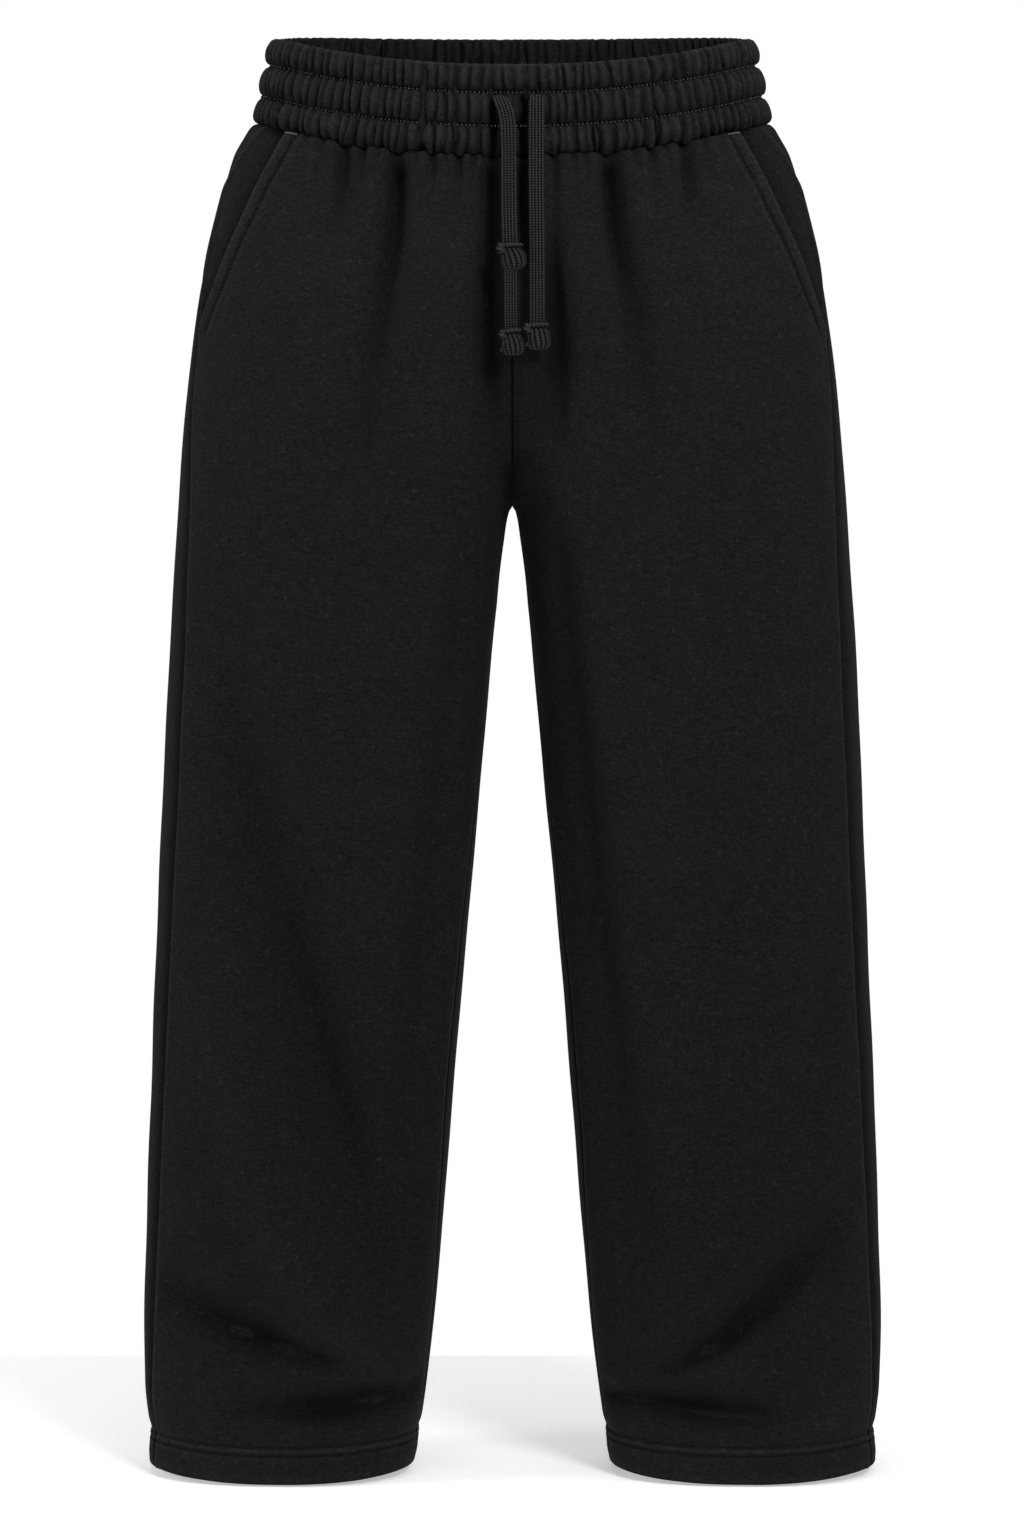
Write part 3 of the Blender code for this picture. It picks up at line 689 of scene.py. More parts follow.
def brushed_fleece(name, dark, light):
    """Cotton fleece, knitted and given a raised pile by brushing: a matt pile of short fibres that
    lie every way over a faint sideways grain, with a slow mottle where the pile has been stroked
    and a few curled fibres that catch the light. Its colour is scaled by the piece's painted
    shading: paler for a painted highlight, darker for painted shade."""
    cloth = Cloth(name, 0.92, 0.014, 0.45)
    stretched = cloth.add("Mapping", Vector=cloth.place, Scale=(0.22, 0.22, 1)).outputs[0]
    fuzz = cloth.noise(620, 3, 0.65, 0.6)
    grain = cloth.noise(900, 1, place=stretched)
    mottle = cloth.noise(38, 3, 0.6)
    fine = cloth.math("MULTIPLY_ADD", grain, 0.5, fuzz)
    tone = cloth.share(cloth.math("MULTIPLY_ADD", mottle, 0.16, fine), 0.58, 1.10)
    curl = cloth.math("SUBTRACT", cloth.noise(150, 1, 0.5, 1.8), 0.52)
    lint = cloth.share(cloth.math("ABSOLUTE", curl), 0.026, 0)
    shown = cloth.share(cloth.noise(230, 0), 0.52, 0.62)
    tone = cloth.math("MULTIPLY_ADD", cloth.math("MULTIPLY", lint, shown), 1, tone)
    # painted light and shade: the colour is scaled by 1 + each point's painted_shading value
    painted_shading = cloth.add("Attribute", {"attribute_name": "painted_shading"}).outputs["Fac"]
    shaded_colour = cloth.add("VectorMath", {"operation": "SCALE"},
                        Vector=cloth.mix(tone, dark, light, clamp=False),
                        Scale=cloth.math("ADD", painted_shading, 1))
    return cloth.finish(shaded_colour.outputs[0], fine, 0.45, 0.0005)


def sewing_thread(name, dark, light):
    """Spun polyester thread: smoother than the cloth, so each stitch catches a small light."""
    cloth = Cloth(name, 0.42, 0, specular=0.3)
    return cloth.finish(cloth.mix(cloth.noise(900, 1), dark, light))


def knitted_cord():
    """Flat knitted cotton cord: rows of small loops. Its colour follows the knit's relief: painted
    shade, near black, between the wales and the loops, and a painted highlight on their tops.
    The map's first coordinate runs across the cord and its second along it, in wales and loops."""
    cloth = Cloth("flat_knitted_cotton_cord", 0.88, 0.02)
    across_along = cloth.add("UVMap", {"uv_map": "cord"}).outputs[0]
    across, along, _ = cloth.add("SeparateXYZ", Vector=across_along).outputs
    wale = cloth.math("PINGPONG", across, 0.5)
    loops = cloth.math("PINGPONG", cloth.math("MULTIPLY_ADD", wale, -1.1, along), 0.5)
    knit = cloth.math("MULTIPLY_ADD", loops, 0.9, wale)
    mixed = cloth.math("MULTIPLY_ADD", cloth.noise(1100, 2), 0.6, knit)
    # painted shade in the knit's grooves and a painted highlight on its loops
    colour = cloth.mix(cloth.share(mixed, 0.58, 1.16), "#020202", "#3c3c3d")
    return cloth.finish(colour, mixed, 0.8, 0.0008)


FLEECE = brushed_fleece("brushed_cotton_fleece", "#0e0e0e", "#202020")
BAND_FLEECE = brushed_fleece("gathered_cotton_fleece", "#111111", "#252525")
THREAD = sewing_thread("black_polyester_thread", "#0c0c0c", "#1c1c1c")
# thread of the band's rows and the bartacks: real stitches, made pale grey as a painted glint on
# each one
BAND_THREAD = sewing_thread("polyester_thread_painted_glint", "#4c4c4c", "#7c7c7a")
CORD_KNIT = knitted_cord()


# ================ panels

def side_seam_relief(from_seam, raised):
    """A seam pressed to one side: a sharp groove, and a raised welt on the upper cloth."""
    groove = rolled(from_seam, 1.5, 2.6)
    return groove - raised * bump(from_seam - 3, 2)


def front_folds(net, side):
    """Depths of a front's gathers and of its folds: of the leg, over the hem, by the cords."""
    x = side * net.point[..., 0]
    z = net.point[..., 2]
    gathered = gather_depth(GATHERS[side], net.from_first, net.drop)
    return (gathered, fold_depth(FOLDS_FRONT, x, z), fold_depth(FOLDS_HEM, x, z, 0.5),
            fold_depth(FOLDS_CORD, x, z))


def off_edges(net):
    """Folds of the leg die away towards a panel's long edges."""
    return ease(net.from_first / 16) * ease(net.from_last / 16)


def front_inset(net, depths, side):
    """Folds of a front, and separately the relief of its edges and sewing."""
    gathered, legs, breaks, hung = depths
    folds = waist_tuck(net.drop, gathered) + gathered
    folds = folds + off_edges(net) * (legs + breaks + hung)
    folds = folds + uneven(side * net.point[..., 0], net.point[..., 2], 11)
    sewing = hem_relief(net.level) + rolled(net.from_first, 1.6, 1.7)
    sewing = sewing + side_seam_relief(net.from_last, 0.7)
    at_pocket = ease((net.level - POCKET_FOOT + 6) / 12)
    across = unit(net.from_last / POCKET_STITCH)
    sewing = sewing - at_pocket * POCKET_WELT * (1 - across**2.6)
    sewing = sewing + at_pocket * 0.9 * bump(net.from_last - POCKET_STITCH, 1.2)
    if side > 0:
        row = smooth_value(RISE_STITCH, 1, net.level)
        above = (net.level > CROTCH + 20) * (net.level < BAND_SEAM - 6)
        sewing = sewing + above * 0.6 * bump(net.from_first - row, 0.9)
    return folds, sewing


def hem_painted_shading(level):
    """Painted shade in the hem's two sewn rows and on its folded lower edge, painted highlights on
    the ridge between the rows and just above that edge.
    """
    upper, lower = HEM_ROWS
    rows = -0.42 * bump(level - upper, 0.9) - 0.6 * bump(level - lower, 0.9)
    ridges = 0.6 * bump(level - upper + 2.5, 1.3) + 0.15 * bump(level - lower + 2.4, 1.6)
    return rows + ridges + 0.2 * bump(level - HEM - 4, 2.5) - 0.3 * bump(level - HEM, 1.2)


def front_painted_shading(net, depths, side):
    """A front's painted shading: painted shade down in its folds, seams and stitch rows, beside
    the centre seam and round the crotch, painted highlights on its edges and a little towards the
    waist.
    """
    level = net.level
    inside = off_edges(net)
    gathered, legs, breaks, hung = depths
    painted_shading = hem_painted_shading(level) - 0.10 * (inside * legs) / 14
    painted_shading = painted_shading - 0.34 * np.clip(inside * breaks / 15, 0, 1.3) ** 1.6
    painted_shading = painted_shading - 0.44 * unit(gathered / 14) ** 1.2
    painted_shading = painted_shading - 0.42 * np.clip(inside * hung / 12, 0, 1.1) ** 1.2
    painted_shading = painted_shading + 0.12 * ease((level + 230) / 120)
    edge = net.from_last
    seam = -0.85 * bump(edge, 0.8) + 0.6 * bump(edge - 2.3, 1.6) + 0.2 * np.exp(-edge / 7)
    mouth = 1 * np.exp(-edge / 2.2) + 0.55 * unit(1 - edge / POCKET_STITCH)
    mouth = mouth - 0.6 * bump(edge - POCKET_STITCH, 1.4)
    mouth = mouth + 0.34 * bump(edge - POCKET_STITCH - 3, 2.4)
    at_pocket = ease((level - POCKET_FOOT + 6) / 12)
    painted_shading = painted_shading + seam + at_pocket * (mouth - seam)
    first = net.from_first
    above = ease((level - CROTCH) / 8)
    inseam = 0.95 * bump(first - 2.2, 1.8) + 0.3 * np.exp(-first / 8) - 0.6 * bump(first, 0.6)
    rise = -0.65 * bump(first, 1) - 0.3 * bump(first, 22) * ease((-175 - level) / 40)
    if side > 0:
        rise = rise - 0.3 * bump(first - smooth_value(RISE_STITCH, 1, level), 0.9)
    painted_shading = painted_shading + inseam + above * (rise - inseam)
    return painted_shading - 0.6 * bump(np.hypot(first, 0.7 * (level - CROTCH)), 12)


def back_painted_shading(net):
    """A back's painted shading: painted shade along its side seam, centre seam and inseam."""
    level = net.level
    first = net.from_first
    painted_shading = hem_painted_shading(level) - 0.85 * bump(first, 1.4) - 0.5 * np.exp(-((first / 9) ** 1.2))
    last = net.from_last
    below = ease((CROTCH - level) / 8)
    inseam = -0.75 * bump(last, 1.4) - 0.25 * bump(last, 7)
    return painted_shading - 0.55 * bump(last, 1) * (1 - below) + inseam * below


def back_inset(net, gathers, side):
    """Folds of a back, and separately the relief of its edges and sewing."""
    x = side * net.point[..., 0]
    z = net.point[..., 2]
    behind = ease((net.point[..., 1] + 10) / 30)
    gathered = gather_depth(gathers, net.from_last, net.drop)
    folds = waist_tuck(net.drop, gathered) + gathered
    between_seams = ease(net.drop / 30) * ease((net.level - HEM - 30) / 30)
    folds = folds + 2.8 * bump(net.from_first, 5) * between_seams
    inside = behind * off_edges(net)
    folds = folds + inside * fold_depth(FOLDS_BACK, x, z) + uneven(x, z, 11)
    sewing = hem_relief(net.level) + rolled(net.from_last, 1, 0.9)
    return folds, sewing + rolled(net.from_first, 2.6, 2.6)


ROWS = panel_rows()


def panel_net(count, first_of, last_of, inner_first):
    even = np.linspace(0, 1, count)
    return Net(ROWS, count, first_of, last_of, 1 - even if inner_first else even)


FRONT_NET = panel_net(150, start_angle, mouth_angle, True)
BACK_NET = panel_net(132, side_angle, end_angle, False)


def make_front(side):
    depths = front_folds(FRONT_NET, side)
    folds, sewing = front_inset(FRONT_NET, depths, side)
    outer = outside_points(FRONT_NET, folds + sewing, side)
    beside_mouth = ease((FRONT_NET.level - POCKET_FOOT + 4) / 8)
    allowance = SIDE_ALLOWANCE * bump(FRONT_NET.from_last, 3) * (1 - beside_mouth)
    inner = wall_points(FRONT_NET, folds, side, allowance)
    painted_shading = front_painted_shading(FRONT_NET, depths, side)
    return cloth_shell("cloth_front_" + SIDES[side], outer, inner, painted_shading, FLEECE), outer


def make_back(side):
    folds, sewing = back_inset(BACK_NET, back_gathers(21 if side > 0 else 22), side)
    outer = outside_points(BACK_NET, folds + sewing, side)
    allowance = BACK_ALLOWANCE * bump(BACK_NET.from_first, 3)
    inner = wall_points(BACK_NET, folds, side, allowance)
    name = "cloth_back_" + SIDES[side]
    return cloth_shell(name, outer, inner, back_painted_shading(BACK_NET), FLEECE), outer


def make_facing(side):
    """The hip piece behind the pocket mouth, with a soft ridge where it is caught in the side
    seam."""
    rows = ROWS[ROWS > POCKET_FOOT + 12]
    shares = np.concatenate([[0, 0.04, 0.09], np.linspace(0.13, 1, 46)])
    level = np.repeat(rows[:, None], len(shares), axis=1)
    mouth = mouth_angle(rows)
    seam = side_angle(rows)
    at_mouth = surface(mouth, rows)
    step = np.linalg.norm(at_mouth - surface(mouth - 0.01, rows), axis=-1) / 0.01
    first = mouth - UNDER_FRONT / step
    last = seam - 0.3 / step
    angle = first[:, None] + shares * (last - first)[:, None]
    point = surface(angle, level)
    normal = surface_normal(angle, level)
    along = run_lengths(point)
    from_seam = along[:, -1:] - along
    in_sight = np.maximum(along[:, -1:] - UNDER_FRONT, 1)
    open_share = unit((along - UNDER_FRONT) / in_sight)
    inset = (CLOTH + BEHIND_FRONT) * (1 - open_share) ** 2.2
    inset = inset + 0.6 * unit(1 - along / UNDER_FRONT)
    hidden = unit(1 - along / 6.5) ** 0.7
    inset = inset + hidden * (CLOTH + 0.6 - inset)
    drop = BAND_SEAM - level
    ridge_place = np.clip(0.34 - 0.34 * drop / 60, 0.06, 1) * along[:, -1:]
    inset = inset - 2.2 * bump(from_seam - ridge_place, 2.8) * ease((150 - drop) / 60)
    inset = inset + waist_tuck(drop, 0)
    edge = side_seam_relief(from_seam, 0.8)
    raised = np.zeros(point.shape)
    raised[..., 2] = sag(point, level, side)
    raised[..., 2] += 4 * np.exp(-drop / 0.8) * unit(1.6 - along / 12)
    outer = put_on_side(point + raised - normal * (inset + edge)[..., None], side)
    thick = CLOTH + SIDE_ALLOWANCE * bump(from_seam, 3)
    inner = put_on_side(point + raised - normal * (inset + thick)[..., None], side)
    # painted shading: painted shadow of the front's edge on the facing beside the mouth, painted
    # shade in the side seam with a painted highlight on its welt, and a painted highlight along
    # the soft ridge
    painted_shading = 0.08 - 0.9 * np.exp(-np.clip(along - UNDER_FRONT, 0, None) / 10)
    painted_shading = painted_shading + 0.7 * bump(from_seam - 1.8, 1.5) - 0.7 * bump(from_seam, 0.6)
    painted_shading = painted_shading + 0.5 * bump(from_seam - ridge_place, 1.8) * ease((150 - drop) / 60)
    name = "cloth_pocket_facing_" + SIDES[side]
    return cloth_shell(name, outer, inner, painted_shading, FLEECE), outer


fronts = {side: make_front(side) for side in SIDES}
backs = {side: make_back(side) for side in SIDES}
facings = {side: make_facing(side) for side in SIDES}


# ================ waistband

BAND_FOLDS = 124
BAND_ROWS = (22.3, -0.2)  # levels of its two stitch rows
BAND_KEYS = (41, 31, 22.3, 11, -0.2, -10, -20)  # levels where the folds change
# levels of the band's inner side, from the waist seam up
BAND_INSIDE = (BAND_SEAM + SEAM_GAP / 2, -17.5, -14, -10, -6, -0.2, 5, 11, 17,
               22.3, 27, 32, 36, 39, 40.5)
# shares of a fold's width and of a ridge's height at which the band has points
FOLD_SHARES = (0, 0.035, 0.09, 0.17, 0.27, 0.38, 0.5, 0.62, 0.73, 0.83, 0.91, 0.965)
RIDGE_SHARES = (0, 0.04, 0.1, 0.18, 0.28, 0.39, 0.5, 0.61, 0.72, 0.82, 0.9, 0.96)
# upper level, lower level, bulge of the three ridges between the rows of stitches
RIDGES = ((41, 22.3, 3.4), (22.3, -0.2, 4), (-0.2, -20, 2.8))
BAND_THICK = 6.4
BAND_SETBACK = 1.2  # of the band's base from the body's smooth surface
# x, half width and depth of the dents at the cords
EYELET_DENTS = ((-12.4, 2.6, 11), (-5, 4, 3.5), (7, 3.6, 11), (17, 5, 3.5))


def ring_table():
    """Distance round the band from the front centre, and the turn at which it is reached."""
    turn = np.linspace(0, 2 * np.pi, 1600)
    half = np.where(turn <= np.pi, turn, 2 * np.pi - turn) + np.pi / 2
    points = surface(half, 0)
    points[..., 0] *= np.where(turn <= np.pi, 1, -1)
    return turn, run_lengths(points)


def ring_point(turn, level, offset):
    """Points of the band: by turn from the front centre, level and offset from the surface."""
    turn = np.mod(turn, 2 * np.pi)
    left = turn <= np.pi
    half = np.where(left, turn, 2 * np.pi - turn) + np.pi / 2
    point = surface(half, level) + surface_normal(half, level) * offset[..., None]
    point[..., 0] *= np.where(left, 1, -1)
    return point


def fold_side(share):
    """How a fold falls from its crest (0) to the valley (1): round, then steep."""
    return 0.85 * (0.5 - 0.5 * np.cos(np.pi * share)) + 0.15 * share**4


class BandFolds:
    """Uneven folds round the band. Each fold's edge has a place and a depth in every ridge."""

    def __init__(self, seed):
        draw = np.random.default_rng(seed)
        self.turn, self.length = ring_table()
        width = 1 + 0.32 * draw.uniform(-1, 1, BAND_FOLDS)
        width = width / width.sum() * self.length[-1]
        edge = np.concatenate([[0], np.cumsum(width)[:-1]])
        self.lean = draw.uniform(-0.22, 0.22, BAND_FOLDS)
        keys = len(BAND_KEYS)
        shift = draw.uniform(-0.26, 0.26, (keys, BAND_FOLDS))
        shift[1::2] = 0.5 * shift[1::2] + 0.5 * shift[0:-1:2]
        shift[:, 0] = 0
        self.edges = edge + shift * width
        ridge = 2.6 + 3.4 * draw.uniform(0, 1, (len(RIDGES), BAND_FOLDS))
        own = np.stack([ridge[0], ridge[0], 0.5 * (ridge[0] + ridge[1]), ridge[1],
                        0.5 * (ridge[1] + ridge[2]), ridge[2], ridge[2]])
        own = own * draw.uniform(0.6, 1.35, own.shape) * (0.45 + 0.55 * width / width.mean())
        own[:, 0] = 3.4
        self.depths = own

    def at_level(self, values, level):
        """Values of every fold at this level, mixed from the two key levels round it."""
        keys = np.array(BAND_KEYS)
        under = int(np.clip(np.searchsorted(-keys, -level), 1, len(keys) - 1))
        share = ease((keys[under - 1] - level) / (keys[under - 1] - keys[under]))
        return values[under - 1] + (values[under] - values[under - 1]) * share

    def row(self, level):
        """Distance round the band and fold depth of each column at a level."""
        edge = self.at_level(self.edges, level)
        depth = self.at_level(self.depths, level)
        after = np.append(edge[1:], edge[0] + self.length[-1])
        share = np.array(FOLD_SHARES)
        place = edge[:, None] + share * (after - edge)[:, None]
        crest = (0.5 + self.lean)[:, None]
        near = 1 - unit(share / crest)
        far = 1 - unit((1 - share) / (1 - crest))
        valley = depth[:, None] * fold_side(near) + np.roll(depth, -1)[:, None] * fold_side(far)
        return place.ravel(), valley.ravel()

    def turn_at(self, place):
        whole = self.length[-1]
        return np.interp(np.mod(place, whole), self.length, self.turn)


def ridge_bulge(level):
    """Height of the three sewn-off ridges over the band's base."""
    total = np.zeros(np.shape(level))
    for upper, lower, bulge in RIDGES:
        middle = (upper + lower) / 2
        half = (upper - lower) / 2
        across = unit(np.abs(level - middle) / half)
        total = total + bulge * (1 - across**2.1) * (across < 1)
    for row in BAND_ROWS:
        total = total - 2.3 * bump(level - row, 1.5)
    seam = unit((level - BAND_SEAM) / 6)
    return total - 4 * (1 - np.sqrt(seam * (2 - seam)))


def band_levels():
    outside = [upper + share * (lower - upper)
               for upper, lower, _ in RIDGES for share in RIDGE_SHARES]
    return np.array(outside[1:] + [BAND_SEAM + SEAM_GAP / 2])


def eyelet_dent(x, z):
    """The cloth is pushed in beside and under the cords where they leave the band."""
    total = np.zeros(np.shape(x))
    for middle, half_width, depth in EYELET_DENTS:
        down = ease((-16.5 - z) / 6) * ease((z + 72) / 20)
        total = total + depth * down * bump(x - middle, half_width)
    return total


def band_wave(loop, level):
    """The band's lower edge follows the wavering waist seam."""
    wave = np.where(loop[..., 0] > 0, seam_wave(loop[..., 0], loop[..., 1], 1),
                    seam_wave(loop[..., 0], loop[..., 1], -1))
    return wave * (1 - ease((level - BAND_SEAM) / 12))


def band_painted_shading(level, valley):
    """Painted highlights on the folds' crests and on the upper half of each ridge, where light
    from above falls; painted shade in the valleys, along the sewn rows and on each ridge's lower
    half."""
    painted_shading = 0.24 - 0.62 * np.clip(valley / 4.5, 0, 1.3) ** 1.2
    for row in BAND_ROWS:
        painted_shading = painted_shading - 0.5 * bump(level - row, 1.3)
    for upper, lower, _ in RIDGES:
        if lower <= level <= upper:
            share = (upper - level) / (upper - lower)
            painted_shading = painted_shading + 0.16 - 0.5 * ease((share - 0.45) / 0.55)
    return painted_shading


def gathered_depth(turn):
    """How far inside the band's smooth line the cloth sewn under it lies, at every turn."""
    level = np.full(turn.shape, BAND_SEAM)
    line = ring_point(turn, level, np.zeros(turn.shape))[:, :2]
    out = line - ring_point(turn, level, np.full(turn.shape, -1))[:, :2]
    out = units(out)
    edges = [outer[0] for pieces in (fronts, backs, facings) for _, outer in pieces.values()]
    rim = np.concatenate(edges)[:, :2]
    apart = line[:, None] - rim[None]
    depth = (apart * out[:, None]).sum(axis=2)
    aside = np.abs(apart[..., 0] * out[:, None, 1] - apart[..., 1] * out[:, None, 0])
    near = (aside < 2.5) & (np.abs(depth) < 45)
    return np.max(np.where(near, depth, 0), axis=1)


def band_loop(turn, level, offset, sink=0):
    """One loop round the band, and the depth of its dents at the cords."""
    loop = ring_point(turn, level, offset)
    dent = (loop[..., 1] < 0) * eyelet_dent(loop[..., 0], loop[..., 2])
    loop[..., 1] += dent
    loop[..., 2] -= sink
    loop[..., 2] += band_wave(loop, level)
    return loop, dent


def make_waistband(folds):
    """The gathered band: its ridges outside, over the top edge and down its flatter inside,
    where the cloth sewn in under it makes it thicker at the waist seam."""
    loops = []
    band_shading_rows = []
    for level in (BAND_TOP - 0.3, *band_levels()):
        place, valley = folds.row(level)
        top = ease((BAND_TOP - level) / 6)
        sewn = sum(bump(level - row, 2) for row in BAND_ROWS)
        offset = ridge_bulge(level) - BAND_SETBACK
        offset = offset - valley * (0.45 + 0.55 * top) * (1 - 0.45 * sewn)
        loop, dent = band_loop(folds.turn_at(place), level, offset, 0.2 * valley * (1 - top))
        loops.append(loop)
        # painted shade in the dents beside the cords, added to the band's painted shading
        band_shading_rows.append(band_painted_shading(level, valley) - 0.5 * unit(dent / 8))
    for level in BAND_INSIDE:
        place, valley = folds.row(level)
        sewn = sum(bump(level - row, 2) for row in BAND_ROWS)
        top = ease((BAND_TOP - level) / 6)
        offset = -BAND_THICK - top + sewn + 0.9 * valley * (0.4 + 0.6 * top)
        turn = folds.turn_at(place)
        sewn_in = ease((-9 - level) / 8)
        if sewn_in > 0:
            allowance = np.minimum(offset, -3 - gathered_depth(turn))
            offset = offset + sewn_in * (allowance - offset)
        loops.append(band_loop(turn, level, offset)[0])
    edge = 0.5 * (loops[0] + loops[-1])
    edge[..., 2] += 1.2
    loops.append(edge)
    points = np.stack(loops)
    rows, columns = points.shape[:2]
    faces = net_faces(rows, columns, closed=True).tolist()
    last = (rows - 1) * columns
    faces += [[last + i, last + (i + 1) % columns, (i + 1) % columns, i] for i in range(columns)]
    piece = mesh_object("cloth_waistband", points, faces, BAND_FLEECE)
    set_painted_shading(piece, np.clip(band_shading_rows, -0.9, 1))
    return piece


band_folds = BandFolds(5)
waistband = make_waistband(band_folds)


# ================ sewing

def stitch_tree():
    """Geometry nodes: small rounded stitches at even steps along every line."""
    tree = bpy.data.node_groups.new("stitches_along_lines", "GeometryNodeTree")
    sockets = tree.interface
    sockets.new_socket("Lines", in_out="INPUT", socket_type="NodeSocketGeometry")
    for label, value in (("Step", 0.0029), ("Stitch length", 0.0021), ("Thread", 0.0005)):
        socket = sockets.new_socket(label, in_out="INPUT", socket_type="NodeSocketFloat")
        socket.default_value = value
    sockets.new_socket("Material", in_out="INPUT", socket_type="NodeSocketMaterial")
    sockets.new_socket("Stitches", in_out="OUTPUT", socket_type="NodeSocketGeometry")
    given, to_points, turn, ball, shape, place, realize, paint, out = (
        tree.nodes.new(kind) for kind in (
            "NodeGroupInput", "GeometryNodeCurveToPoints", "FunctionNodeAlignRotationToVector",
            "GeometryNodeMeshUVSphere", "ShaderNodeCombineXYZ", "GeometryNodeInstanceOnPoints",
            "GeometryNodeRealizeInstances", "GeometryNodeSetMaterial", "NodeGroupOutput"))
    to_points.mode = "LENGTH"
    turn.axis = "Z"
    for label, value in (("Segments", 6), ("Rings", 4), ("Radius", 0.5)):
        ball.inputs[label].default_value = value
    join(tree,
         (given, "Lines", to_points, "Curve"),
         (given, "Step", to_points, "Length"),
         (to_points, "Tangent", turn, "Vector"),
         (given, "Thread", shape, "X"),
         (given, "Thread", shape, "Y"),
         (given, "Stitch length", shape, "Z"),
         (to_points, "Points", place, "Points"),
         (ball, "Mesh", place, "Instance"),
         (turn, "Rotation", place, "Rotation"),
         (shape, "Vector", place, "Scale"),
         (place, "Instances", realize, "Geometry"),
         (realize, "Geometry", paint, "Geometry"),
         (given, "Material", paint, "Material"),
         (paint, "Geometry", out, "Stitches"))
    return tree


STITCHES = stitch_tree()


def sew(name, lines, step=2.9, length=2.1, thread=0.5, material=THREAD):
    """Run stitches along lines of points in mm, and keep them as one plain mesh."""
    curve = bpy.data.curves.new(name + "_lines", "CURVE")
    curve.dimensions = "3D"
    for line in lines:
        spline = curve.splines.new("POLY")
        spline.points.add(len(line) - 1)
        flat = np.ones((len(line), 4))
        flat[:, :3] = np.asarray(line) * MM
        spline.points.foreach_set("co", flat.ravel())
    guide = bpy.data.objects.new(name + "_lines", curve)
    SCENE.collection.objects.link(guide)
    modifier = guide.modifiers.new("stitches", "NODES")
    modifier.node_group = STITCHES
    wanted = {"Step": step * MM, "Stitch length": length * MM, "Thread": thread * MM,
              "Material": material}
    for item in STITCHES.interface.items_tree:
        if item.in_out == "INPUT" and item.name in wanted:
            modifier[item.identifier] = wanted[item.name]
    graph = bpy.context.evaluated_depsgraph_get()
    mesh = bpy.data.meshes.new_from_object(guide.evaluated_get(graph))
    bpy.data.objects.remove(guide)
    mesh.shade_smooth()
    piece = bpy.data.objects.new(name, mesh)
    SCENE.collection.objects.link(piece)
    return piece


STITCH_LIFT = 0.12


def line_on(outer, net, columns_from, distance, low, high):
    """A line on a finished panel at a distance from one of its long edges, between levels."""
    line = []
    for row in range(len(net.rows)):
        level = net.level[row].mean()
        if not low <= level <= high:
            continue
        across = columns_from[row]
        order = np.argsort(across)
        point, normal = (
            np.array([np.interp(distance(level), across[order], values[row, order, axis])
                      for axis in range(3)]) for values in (outer, net.normal))
        normal[0] *= np.sign(outer[row, len(order) // 2, 0])
        line.append(point + STITCH_LIFT * normal)
    return line


def lifted_row(outer, net, row, side, lift):
    """A row of a finished panel, lifted off it."""
    normal = net.normal[row].copy()
    normal[:, 0] *= side
    return outer[row] + lift * normal


def level_line(outer, net, level, side):
    """A line across a finished panel at one level."""
    row = int(np.argmin(np.abs(net.rows - level)))
    return lifted_row(outer, net, row, side, STITCH_LIFT)[3:-3]


def band_line(folds, level, base, follow, lift):
    """A closed line round the band, which follows a share of its folds."""
    place, valley = folds.row(level)
    offset = base + follow * valley + lift
    points = ring_point(folds.turn_at(place), np.full(len(place), level), offset)
    return np.concatenate([points, points[:1]])


band_sewing = sew(
    "waistband_stitches",
    [band_line(band_folds, row, ridge_bulge(row) - BAND_SETBACK, -0.3, 0.75) for row in BAND_ROWS]
    + [band_line(band_folds, row, -BAND_THICK, 0.8, -0.4) for row in BAND_ROWS],
    step=3.1, length=1, thread=0.85, material=BAND_THREAD)

pocket_sewing = []
hem_sewing = []
for side, label in SIDES.items():
    front_outer = fronts[side][1]
    pocket_sewing.append(sew("pocket_stitches_" + label, [line_on(
        front_outer, FRONT_NET, FRONT_NET.from_last, lambda level: POCKET_STITCH,
        POCKET_FOOT + 4, BAND_SEAM - 2)], step=2.7, length=1.4, thread=0.5))
    hem_sewing.append(sew("hem_stitches_" + label, [
        level_line(outer, net, level, side)
        for outer, net in ((front_outer, FRONT_NET), (backs[side][1], BACK_NET))
        for level in HEM_ROWS], step=2.6, length=1.3, thread=0.55))
near_mouth = (FRONT_NET.from_last[3] > 0.8) & (FRONT_NET.from_last[3] < 10)
bartack_sewing = sew(
    "pocket_bartacks",
    [lifted_row(fronts[side][1], FRONT_NET, 3, side, 0.5)[near_mouth] for side in SIDES],
    step=0.8, length=1, thread=0.8, material=BAND_THREAD)
rise_sewing = sew("rise_stitches", [line_on(
    fronts[1][1], FRONT_NET, FRONT_NET.from_first,
    lambda level: float(smooth_value(RISE_STITCH, 1, level)), CROTCH + 24, BAND_SEAM - 6)],
    step=2.8, length=2.1, thread=0.35)


# ================ drawcord

